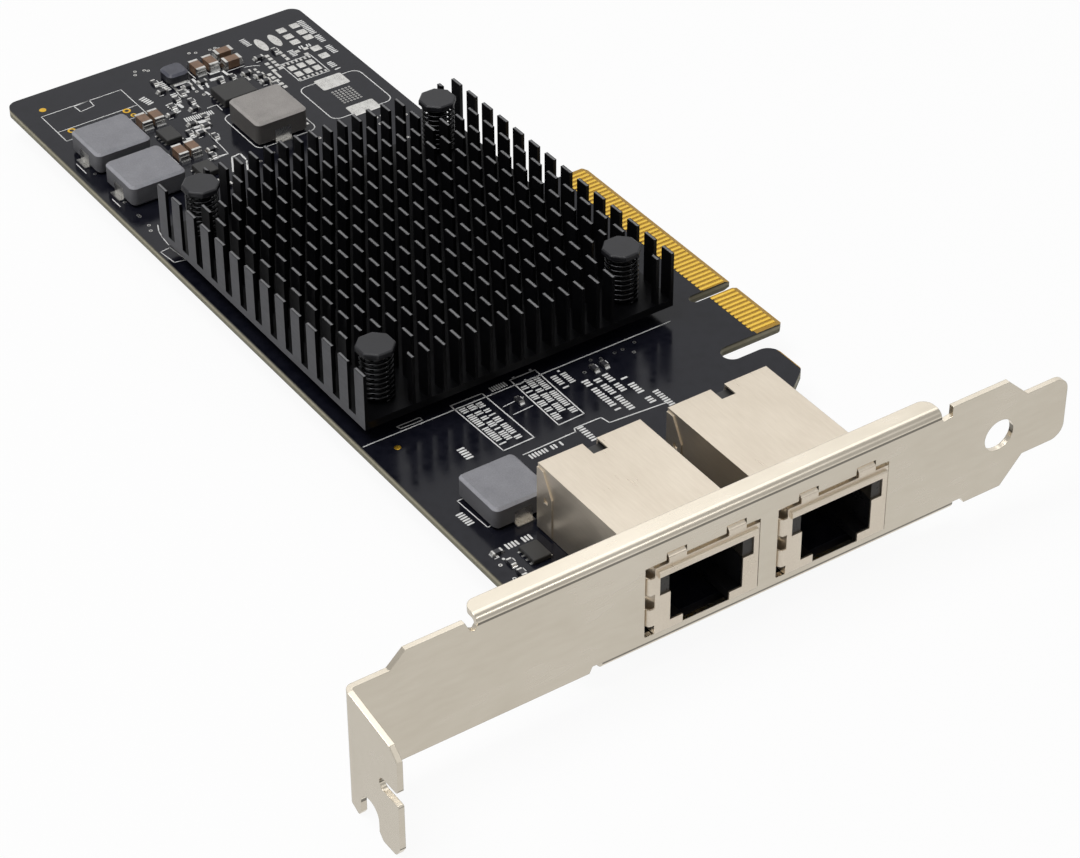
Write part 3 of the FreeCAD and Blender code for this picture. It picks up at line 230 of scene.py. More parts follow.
def feed(tree, value, socket):
    # a plain number or another node's output
    if isinstance(value, (int, float)):
        socket.default_value = value
    else:
        tree.links.new(value, socket)


def maths(tree, kind, first, second=0.0):
    step = tree.nodes.new("ShaderNodeMath")
    step.operation = kind
    feed(tree, first, step.inputs[0])
    feed(tree, second, step.inputs[1])
    return step.outputs["Value"]


def average(tree, first, second):
    return maths(tree, "MULTIPLY", maths(tree, "ADD", first, second), 0.5)


def mixed(tree, share, first, second):
    mix = tree.nodes.new("ShaderNodeMix")
    mix.data_type = "RGBA"
    tree.links.new(share, mix.inputs["Factor"])
    tree.links.new(first, mix.inputs[6])  # sockets 6, 7 and 2 are the ones for colours
    tree.links.new(second, mix.inputs[7])
    return mix.outputs[2]


def placeOn(tree):
    return tree.nodes.new("ShaderNodeTexCoord").outputs["Object"]


def axesOf(tree, vector):
    split = tree.nodes.new("ShaderNodeSeparateXYZ")
    tree.links.new(vector, split.inputs["Vector"])
    return split.outputs


def facingOf(tree):
    return axesOf(tree, tree.nodes.new("ShaderNodeNewGeometry").outputs["Normal"])


def noiseAt(tree, place, size, detail=3.0, stretch=None):
    noise = tree.nodes.new("ShaderNodeTexNoise")
    noise.inputs["Scale"].default_value = 1.0 / size
    noise.inputs["Detail"].default_value = detail
    if stretch:
        mapping = tree.nodes.new("ShaderNodeMapping")
        mapping.inputs["Scale"].default_value = stretch
        tree.links.new(place, mapping.inputs["Vector"])
        place = mapping.outputs["Vector"]
    tree.links.new(place, noise.inputs["Vector"])
    return noise.outputs["Fac"]


def toned(tree, tone, dark, light, reach=grainRange):
    # dark to light as the tone rises
    ramp = tree.nodes.new("ShaderNodeValToRGB")
    for stop, where, colour in zip(ramp.color_ramp.elements, reach, (dark, light)):
        stop.position = where
        stop.color = (*colour, 1.0)
    feed(tree, tone, ramp.inputs["Fac"])
    return ramp.outputs["Color"]


def spread(tree, source, ends, reach=grainRange):
    # the source from one end of its reach to the other, as values between the two ends
    value = tree.nodes.new("ShaderNodeMapRange")
    for socket, number in zip(("From Min", "From Max", "To Min", "To Max"), (*reach, *ends)):
        value.inputs[socket].default_value = number
    tree.links.new(source, value.inputs["Value"])
    return value.outputs["Result"]


def crestOf(tree, along, centre, pitch, band):
    # 1 on the middle line of each rib of a row, falling to 0 over the band
    distance = maths(tree, "PINGPONG", maths(tree, "SUBTRACT", along, centre), pitch / 2)
    return spread(tree, distance, (1.0, 0.0), band)


def bumped(tree, height, depth, strength=0.3):
    bump = tree.nodes.new("ShaderNodeBump")
    bump.inputs["Strength"].default_value = strength
    bump.inputs["Distance"].default_value = depth
    tree.links.new(height, bump.inputs["Height"])
    return bump


def shaded(tree, colour, tone, look):
    # painted shade and painted highlight: faces whose normal leans by so much from the horizontal get a
    # darker or lighter copy of the tone, such as shaded sides, a shaded fold or lit bevels
    lean = maths(tree, "ABSOLUTE", facingOf(tree)["Z"])
    for low, high, share in look["shade"]:
        inside = maths(tree, "MULTIPLY", maths(tree, "GREATER_THAN", lean, low),
                       maths(tree, "LESS_THAN", lean, high))
        dark, light = ([part * share for part in look[end]] for end in ("dark", "light"))
        colour = mixed(tree, inside, colour, toned(tree, tone, dark, light))
    return colour


def dress(tree, shader, colour, rough, relief):
    tree.links.new(colour, shader.inputs["Base Color"])
    tree.links.new(rough, shader.inputs["Roughness"])
    tree.links.new(relief.outputs["Normal"], shader.inputs["Normal"])


def makeFinish(name, look):
    material, tree, shader = newMaterial(name)
    shader.inputs["Metallic"].default_value = look.get("metal", 0.0)
    shader.inputs["Specular IOR Level"].default_value = look.get("specular", 0.5)
    place = placeOn(tree)
    grain = noiseAt(tree, place, look["grain"], look.get("detail", grainDetail), look.get("stretch"))
    both = tree.nodes.new("ShaderNodeMix")
    both.data_type = "FLOAT"
    both.inputs["Factor"].default_value = look.get("grainShare", 0.5)
    tree.links.new(noiseAt(tree, place, look["patch"], patchDetail), both.inputs["A"])
    tree.links.new(grain, both.inputs["B"])
    tone = both.outputs["Result"]
    colour = toned(tree, tone, look["dark"], look["light"])
    if "shade" in look:
        colour = shaded(tree, colour, tone, look)

    # soft edges, a bump from the grain, or both
    relief = []
    if "edge" in look:
        rounding = tree.nodes.new("ShaderNodeBevel")
        rounding.samples = edgeSamples
        rounding.inputs["Radius"].default_value = look["edge"]
        relief.append(rounding)
    if "bump" in look:
        relief.append(bumped(tree, grain, look["bump"]))
    for first, second in zip(relief, relief[1:]):
        tree.links.new(first.outputs["Normal"], second.inputs["Normal"])
    dress(tree, shader, colour, spread(tree, tone, look["rough"]), relief[-1])
    return material


finishes = {
    "pinPlastic": {
        "dark": (0.012, 0.012, 0.014), "light": (0.022, 0.022, 0.026), "rough": (0.3, 0.44),
        "grain": 0.25 * mm, "patch": 2.5 * mm, "bump": 0.02 * mm, "edge": 0.2 * mm, "specular": 0.42,
    },
    "springSteel": {
        "dark": (0.016, 0.016, 0.017), "light": (0.045, 0.045, 0.047), "rough": (0.05, 0.1),
        "grain": 0.1 * mm, "patch": 0.8 * mm, "bump": 0.003 * mm, "metal": 1.0,
    },
    "greyFerrite": {
        "dark": (0.18, 0.18, 0.197), "light": (0.29, 0.29, 0.312), "rough": (0.46, 0.62),
        "grain": 0.11 * mm, "patch": 2.2 * mm, "bump": 0.05 * mm, "grainShare": 0.65,
        # painted shade darkens the sides, a painted highlight lightens the top bevels
        "shade": [(-1.0, 0.5, 0.5), (0.5, 0.97, 1.35)],
    },
    "warmFerrite": {
        "dark": (0.23, 0.217, 0.205), "light": (0.385, 0.36, 0.342), "rough": (0.46, 0.62),
        "grain": 0.12 * mm, "patch": 2.6 * mm, "bump": 0.05 * mm, "grainShare": 0.65,
        # painted shade darkens the sides, a painted highlight lightens the top bevels
        "shade": [(-1.0, 0.5, 0.42), (0.5, 0.97, 1.35)],
    },
    "darkFerrite": {
        "dark": (0.04, 0.042, 0.056), "light": (0.09, 0.092, 0.115), "rough": (0.3, 0.45),
        "grain": 0.15 * mm, "patch": 1.4 * mm, "bump": 0.03 * mm,
        # painted shade darkens the sides, a painted highlight lightens the top bevels
        "shade": [(-1.0, 0.5, 0.4), (0.5, 0.97, 1.3)],
    },
    "tinned": {
        "dark": (0.52, 0.51, 0.49), "light": (0.84, 0.83, 0.8), "rough": (0.2, 0.42),
        "grain": 0.18 * mm, "patch": 1.2 * mm, "bump": 0.03 * mm, "metal": 1.0,
    },
    "mouldedChip": {
        "dark": (0.019, 0.0185, 0.018), "light": (0.034, 0.033, 0.0315), "rough": (0.42, 0.62),
        "grain": 0.09 * mm, "patch": 1.6 * mm, "bump": 0.02 * mm, "grainShare": 0.6,
    },
    "brownCeramic": {
        "dark": (0.13, 0.072, 0.042), "light": (0.25, 0.15, 0.092), "rough": (0.3, 0.5),
        "grain": 0.14 * mm, "patch": 0.9 * mm, "bump": 0.02 * mm,
    },
    "resistorBody": {
        "dark": (0.014, 0.014, 0.017), "light": (0.036, 0.036, 0.042), "rough": (0.22, 0.42),
        "grain": 0.1 * mm, "patch": 0.6 * mm, "bump": 0.01 * mm,
    },
    "shieldNickel": {
        "dark": (0.71, 0.625, 0.51), "light": (0.8, 0.715, 0.595), "rough": (0.27, 0.32),
        "grain": 0.3 * mm, "patch": 9.0 * mm, "stretch": (0.12, 1.0, 1.0), "detail": 1.0,
        # painted highlight on faces that lean partly up, such as the bent tabs and the brow
        "metal": 0.86, "edge": 0.1 * mm, "grainShare": 0.4, "shade": [(0.3, 0.93, 1.22)],
    },
    "bracketNickel": {
        "dark": (0.64, 0.58, 0.48), "light": (0.71, 0.65, 0.55), "rough": (0.24, 0.29),
        "grain": 1.1 * mm, "patch": 14.0 * mm, "stretch": (1.0, 0.25, 1.0), "detail": 1.0,
        # painted shade on a narrow band of the bends near upright, a painted highlight on faces that lean up
        # or down further, the flange top among them
        "metal": 1.0, "edge": 0.16 * mm, "grainShare": 0.3, "shade": [(0.06, 0.27, 0.34), (0.27, 1.1, 1.28)],
    },
    "jackBlack": {
        "dark": (0.009, 0.009, 0.01), "light": (0.016, 0.016, 0.018), "rough": (0.24, 0.38),
        "grain": 0.2 * mm, "patch": 2.0 * mm, "bump": 0.015 * mm,
    },
    "potting": {
        "dark": (0.016, 0.016, 0.016), "light": (0.03, 0.029, 0.028), "rough": (0.35, 0.6),
        "grain": 0.6 * mm, "patch": 3.0 * mm, "bump": 0.08 * mm,
    },
    "milkyGuide": {
        "dark": (0.024, 0.021, 0.018), "light": (0.05, 0.044, 0.037), "rough": (0.24, 0.36),
        "grain": 0.4 * mm, "patch": 1.5 * mm, "bump": 0.01 * mm, "specular": 0.35,
    },
    "packageGreen": {
        "dark": (0.02, 0.08, 0.03), "light": (0.04, 0.13, 0.055), "rough": (0.28, 0.4),
        "grain": 0.2 * mm, "patch": 2.0 * mm, "bump": 0.01 * mm,
    },
    "lidMetal": {
        "dark": (0.5, 0.5, 0.51), "light": (0.64, 0.64, 0.65), "rough": (0.26, 0.38),
        "grain": 0.15 * mm, "patch": 4.0 * mm, "stretch": (0.1, 1.0, 1.0), "bump": 0.01 * mm,
        "metal": 1.0,
    },
    "padGrey": {
        "dark": (0.36, 0.36, 0.38), "light": (0.46, 0.46, 0.48), "rough": (0.7, 0.86),
        "grain": 0.15 * mm, "patch": 2.0 * mm, "bump": 0.03 * mm,
    },
    "screwSteel": {
        "dark": (0.48, 0.475, 0.46), "light": (0.68, 0.67, 0.65), "rough": (0.24, 0.38),
        "grain": 0.15 * mm, "patch": 1.4 * mm, "bump": 0.015 * mm, "metal": 1.0,
    },
    "markingInk": {
        "dark": (0.6, 0.6, 0.59), "light": (0.86, 0.86, 0.85), "rough": (0.5, 0.7),
        "grain": 0.12 * mm, "patch": 1.5 * mm, "bump": 0.01 * mm,
    },
    "solder": {
        "dark": (0.5, 0.5, 0.49), "light": (0.8, 0.795, 0.78), "rough": (0.16, 0.34),
        "grain": 0.3 * mm, "patch": 0.9 * mm, "bump": 0.03 * mm, "metal": 1.0,
    },
    "padGold": {
        "dark": (0.76, 0.42, 0.035), "light": (0.93, 0.6, 0.075), "rough": (0.2, 0.34),
        "grain": 0.12 * mm, "patch": 1.5 * mm, "bump": 0.01 * mm, "metal": 1.0,
    },
}
made = {name: makeFinish(name, look) for name, look in finishes.items()}


# Black anodised heat sink: drawn lines on the fins' sides; painted light on the tip crests and outer rows,
# painted shade on inner rows, saw cuts and base
sinkLook = {
    "sawnAndBaseShade": ((0.0018, 0.0018, 0.0023), (0.0036, 0.0036, 0.0044)),
    "innerRowShade": ((0.0028, 0.0028, 0.0034), (0.0056, 0.0056, 0.0066)),
    "outerRowLit": ((0.033, 0.033, 0.038), (0.082, 0.082, 0.091)),
    "tipHighlight": ((0.13, 0.13, 0.135), (0.22, 0.22, 0.225)),
    "rough": (0.3, 0.42),
    "specular": 0.16,
    "tipStart": 11.9 * mm,
    "finPitch": 2.71 * mm,
    "finThick": 0.55 * mm,
    "highlightCrest": (0.13 * mm, 0.22 * mm),
    "drawnLine": 0.16 * mm,
    "drawnStretch": (0.04, 1.0, 1.0),
    "cloud": 4.0 * mm,
    "depth": 0.015 * mm,
}


def makeSinkFinish(look):
    material, tree, shader = newMaterial("anodisedBlack")
    shader.inputs["Specular IOR Level"].default_value = look["specular"]
    place = placeOn(tree)
    along = axesOf(tree, place)
    facing = facingOf(tree)
    low, high = solidBoxes("heat_sink")[0]
    side = maths(tree, "GREATER_THAN", maths(tree, "ABSOLUTE", facing["Y"]), squareOn)
    # painted light: the two outermost rows of fins are painted lit, the inner ones painted shaded
    fromMiddle = maths(tree, "ABSOLUTE", maths(tree, "SUBTRACT", along["Y"], (low.y + high.y) / 2))
    litOuterRows = maths(tree, "GREATER_THAN", fromMiddle, (high.y - low.y) / 2 - look["finThick"] / 2)
    # painted highlight: only the crest of a fin's tip is painted bright
    highlightCrest = crestOf(tree, along["Y"], low.y + look["finThick"] / 2, look["finPitch"], look["highlightCrest"])
    up = maths(tree, "GREATER_THAN", facing["Z"], squareOn)
    atTip = maths(tree, "GREATER_THAN", along["Z"], look["tipStart"])
    tipHighlightMask = maths(tree, "MULTIPLY", maths(tree, "MULTIPLY", up, atTip), highlightCrest)
    # lines along X, as an extrusion die leaves them, over faint clouds
    drawn = noiseAt(tree, place, look["drawnLine"], stretch=look["drawnStretch"])
    tone = average(tree, drawn, noiseAt(tree, place, look["cloud"]))
    sawnAndBaseShade, innerRowShade, outerRowLit, tipHighlight = (toned(tree, tone, *look[kind]) for kind in ("sawnAndBaseShade", "innerRowShade", "outerRowLit", "tipHighlight"))
    # painted shade on faces that don't face along Y and on the inner rows, painted light on the outer rows
    body = mixed(tree, side, sawnAndBaseShade, mixed(tree, litOuterRows, innerRowShade, outerRowLit))
    dress(tree, shader, mixed(tree, tipHighlightMask, body, tipHighlight), spread(tree, tone, look["rough"]),
          bumped(tree, drawn, look["depth"]))
    return material


made["anodisedBlack"] = makeSinkFinish(sinkLook)


# Gold contacts: a painted highlight along the middle of each pad and painted shade, a deeper gold, at its
# flanks
contactLook = {
    "middle": ((0.9, 0.56, 0.07), (0.98, 0.68, 0.13)),
    "flankShade": ((0.5, 0.27, 0.02), (0.62, 0.35, 0.035)),
    "rough": (0.2, 0.34),
    "pitch": 1.0 * mm,
    "band": (0.14 * mm, 0.3 * mm),
    "grain": 0.12 * mm,
    "depth": 0.008 * mm,
}


def makeContactFinish(look):
    material, tree, shader = newMaterial("contactGold")
    shader.inputs["Metallic"].default_value = 1.0
    place = placeOn(tree)
    low, high = solidBoxes("edge_contacts")[0]
    # painted highlight: 1 along each pad's middle line, falling to 0 at its flanks
    highlightCrest = crestOf(tree, axesOf(tree, place)["X"], (low.x + high.x) / 2, look["pitch"], look["band"])
    grain = noiseAt(tree, place, look["grain"])
    flankShade, middle = (toned(tree, grain, *look[kind]) for kind in ("flankShade", "middle"))
    dress(tree, shader, mixed(tree, highlightCrest, flankShade, middle), spread(tree, grain, look["rough"]),
          bumped(tree, grain, look["depth"]))
    return material


made["contactGold"] = makeContactFinish(contactLook)


# The board: glossy mask over copper lines, bare laminate at the edge and on the tongue
boardLook = {
    "mask": ((0.0036, 0.004, 0.0078), (0.0075, 0.0079, 0.013)),
    "maskReach": (0.25, 0.7),
    "maskRough": (0.1, 0.17),
    "maskSpecular": 0.28,
    "lineSize": 1.7 * mm,
    "lineUneven": 0.85,
    "lineDepth": 0.02 * mm,
    "lineStrength": 0.12,
    "planeSize": 9.0 * mm,
    # glass layers of the cut edge from the underside up: share of the thickness and colour
    "layers": [
        (0.0, (0.012, 0.012, 0.012)), (0.08, (0.19, 0.178, 0.12)), (0.4, (0.19, 0.178, 0.12)),
        (0.5, (0.36, 0.33, 0.23)), (0.72, (0.36, 0.33, 0.23)), (0.88, (0.05, 0.042, 0.02)),
        (1.0, (0.02, 0.02, 0.018)),
    ],
    "edgeInJack": 57.3 * mm,
    "tongue": ((0.36, 0.2, 0.025), (0.5, 0.3, 0.05)),
    "tongueStart": -5.0 * mm,
    "fibre": 0.18 * mm,
    "fibreStretch": (1.0, 1.0, 3.0),
    "bareRough": 0.5,
}


def layersOf(tree, depth, stops):
    layers = tree.nodes.new("ShaderNodeValToRGB")
    elements = layers.color_ramp.elements
    for where, colour in stops[1:-1]:
        elements.new(where)
    for element, (where, colour) in zip(elements, stops):
        element.position = where
        element.color = (*colour, 1.0)
    tree.links.new(depth, layers.inputs["Fac"])
    return layers.outputs["Color"]


def makeBoardFinish(look):
    material, tree, shader = newMaterial("boardMask")
    shader.inputs["Specular IOR Level"].default_value = look["maskSpecular"]
    place = placeOn(tree)
    along = axesOf(tree, place)
    flat = maths(tree, "GREATER_THAN", maths(tree, "ABSOLUTE", facingOf(tree)["Z"]), squareOn)
    onTongue = maths(tree, "GREATER_THAN", along["Y"], look["tongueStart"])

    # copper lines and planes just visible under the mask
    lines = tree.nodes.new("ShaderNodeTexVoronoi")
    lines.distance = "MANHATTAN"
    lines.inputs["Scale"].default_value = 1.0 / look["lineSize"]
    lines.inputs["Randomness"].default_value = look["lineUneven"]
    tree.links.new(place, lines.inputs["Vector"])
    tone = average(tree, lines.outputs["Distance"], noiseAt(tree, place, look["planeSize"], patchDetail))
    mask = toned(tree, tone, *look["mask"], look["maskReach"])

    # layers across the thickness; the short edge that closes the jacks takes the mask's dark colour instead
    thickness = -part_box("circuit_board")[0].z
    depth = maths(tree, "DIVIDE", maths(tree, "ADD", along["Z"], thickness), thickness)
    inJack = maths(tree, "GREATER_THAN", along["X"], look["edgeInJack"])
    cutEdge = mixed(tree, inJack, layersOf(tree, depth, look["layers"]), toned(tree, 0.5, *look["mask"]))

    fibre = noiseAt(tree, place, look["fibre"], stretch=look["fibreStretch"])
    face = mixed(tree, onTongue, mask, toned(tree, fibre, *look["tongue"]))
    masked = maths(tree, "MULTIPLY", flat, maths(tree, "SUBTRACT", 1.0, onTongue))
    unmasked = maths(tree, "SUBTRACT", 1.0, masked)
    rough = maths(tree, "ADD", maths(tree, "MULTIPLY", masked, spread(tree, tone, look["maskRough"])),
                  maths(tree, "MULTIPLY", unmasked, look["bareRough"]))
    height = maths(tree, "ADD", maths(tree, "MULTIPLY", masked, lines.outputs["Distance"]),
                   maths(tree, "MULTIPLY", unmasked, fibre))
    dress(tree, shader, mixed(tree, flat, cutEdge, face), rough,
          bumped(tree, height, look["lineDepth"], look["lineStrength"]))
    return material


made["boardMask"] = makeBoardFinish(boardLook)

# which nodes each finish goes on
finishNodes = {
    "boardMask": ["circuit_board"],
    "contactGold": ["edge_contacts"],
    "packageGreen": ["controller_substrate"],
    "lidMetal": ["controller_lid", "clock_crystal"],
    "padGrey": ["thermal_pad"],
    "anodisedBlack": ["heat_sink"],
    "pinPlastic": ["push_pins"],
    "springSteel": ["push_pin_springs"],
    "greyFerrite": ["power_inductor_1", "power_inductor_2", "power_inductor_3"],
    "warmFerrite": ["input_inductor"],
    "darkFerrite": ["small_inductor"],
    "mouldedChip": ["power_chip", "regulator_chip_1", "regulator_chip_2", "memory_chip"],
    "brownCeramic": ["brown_capacitors", "bypass_capacitors"],
    "resistorBody": ["small_resistors"],
    "tinned": [
        "power_inductor_terminals", "input_inductor_terminals", "small_inductor_terminals", "chip_leads",
        "capacitor_ends", "resistor_ends", "bypass_capacitor_ends", "jack_1_pins", "jack_2_pins",
    ],
    "bracketNickel": ["bracket"],
    "screwSteel": ["bracket_screws"],
    "shieldNickel": ["jack_1_shield", "jack_2_shield"],
    "jackBlack": ["jack_1_housing", "jack_2_housing"],
    "milkyGuide": ["jack_1_light_guides", "jack_2_light_guides"],
    "potting": ["jack_1_magnetics", "jack_2_magnetics"],
    "padGold": ["jack_1_contacts", "jack_2_contacts"],
}
nodeFinish = {name: finish for finish, names in finishNodes.items() for name in names}
for name, node in nodes.items():
    if not node.material_slots:
        node.data.materials.append(made[nodeFinish[name]])
    for holder in node.material_slots:
        holder.material = made[nodeFinish[name]]
print("stage: finishes on", len(nodes), "nodes")


# Coil springs under the push pin heads
springShape = {
    "wire": 0.24 * mm,
    "coilRadius": 2.42 * mm,
    "turns": 9,
    "wireSides": 8,
    "stepsPerTurn": 28,
    "weld": 0.0001 * mm,
    "smoothAngle": 50.0,
}


def makeSprings(shape):
    boxes = solidBoxes("push_pin_springs")
    clearSelection()
    height = boxes[0][1].z - boxes[0][0].z
    bpy.ops.mesh.primitive_circle_add(
        vertices=shape["wireSides"], radius=shape["wire"], fill_type="NOTHING",
        location=(shape["coilRadius"], 0.0, 0.0), rotation=(math.pi / 2, 0.0, 0.0))
    coil = bpy.context.object
    bakePlace(coil)
    turning = coil.modifiers.new("coil", "SCREW")
    turning.axis = "Z"
    turning.iterations = shape["turns"]
    turning.screw_offset = (height - 2 * shape["wire"]) / shape["turns"]
    turning.angle = math.tau
    turning.steps = shape["stepsPerTurn"]
    turning.render_steps = shape["stepsPerTurn"]
    bpy.ops.object.modifier_apply(modifier="coil")
    startEdit(coil)
    selectAll()
    bpy.ops.mesh.remove_doubles(threshold=shape["weld"])
    bpy.ops.mesh.select_all(action="DESELECT")
    bpy.ops.mesh.select_mode(type="EDGE")
    bpy.ops.mesh.select_non_manifold()
    bpy.ops.mesh.edge_face_add()
    closeUp()
    bpy.ops.object.shade_smooth_by_angle(angle=math.radians(shape["smoothAngle"]))
    coils = []
    for low, high in boxes:
        middle = (low + high) / 2
        coils.append(stamp(coil, middle.x, middle.y, low.z + shape["wire"]))
    drop(coil)
    springs = gather("coil_springs", coils, made["springSteel"])
    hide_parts("push_pin_springs")


makeSprings(springShape)
print("stage: springs")


# White printed lines and bars, in millimetres. Every bar is a copy of one thin rounded dash
inkShape = {
    "thick": 0.03 * mm,
    "corner": 0.18,
    "fill": 0.62,  # share of a row that its bars cover
    "skip": 0.14,  # chance of a gap in an uneven row
    "shortest": 0.75,
    "dot": 0.4,
    "dotLong": 0.02,
    "outlineCorner": 6,
}


def makeDash(shape):
    dash = startPlate(shape["corner"])
    thicken(shape["thick"])
    closeUp()
    return dash


dash = makeDash(inkShape)
inkBars = []


def printLine(points, width, side=1, closed=False):
    corners = list(points) + ([points[0]] if closed else [])
    for start, end in zip(corners, corners[1:]):
        run = Vector((end[0] - start[0], end[1] - start[1]))
        turn = math.atan2(run.y, run.x)
        middle = ((start[0] + end[0]) / 2 * mm, (start[1] + end[1]) / 2 * mm)
        level = 0.0 if side > 0 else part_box("circuit_board")[0].z - inkShape["thick"]
        inkBars.append(stamp(dash, middle[0], middle[1], level, turn,
                             ((run.length + width) * mm, width * mm, 1.0)))


def printRow(start, end, count, height, side=1, uneven=0):
    # a row of short bars, side by side
    lengths = random.Random(uneven)
    run = Vector((end[0] - start[0], end[1] - start[1]))
    across = Vector((-run.y, run.x)).normalized() * height / 2
    shortest = inkShape["shortest"]
    for step in range(count):
        if uneven and lengths.random() < inkShape["skip"]:
            continue
        middle = Vector(start) + run * (step + 0.5) / count
        half = across * (shortest + (1.0 - shortest) * lengths.random() if uneven else 1.0)
        printLine([tuple(middle - half), tuple(middle + half)], run.length / count * inkShape["fill"], side)


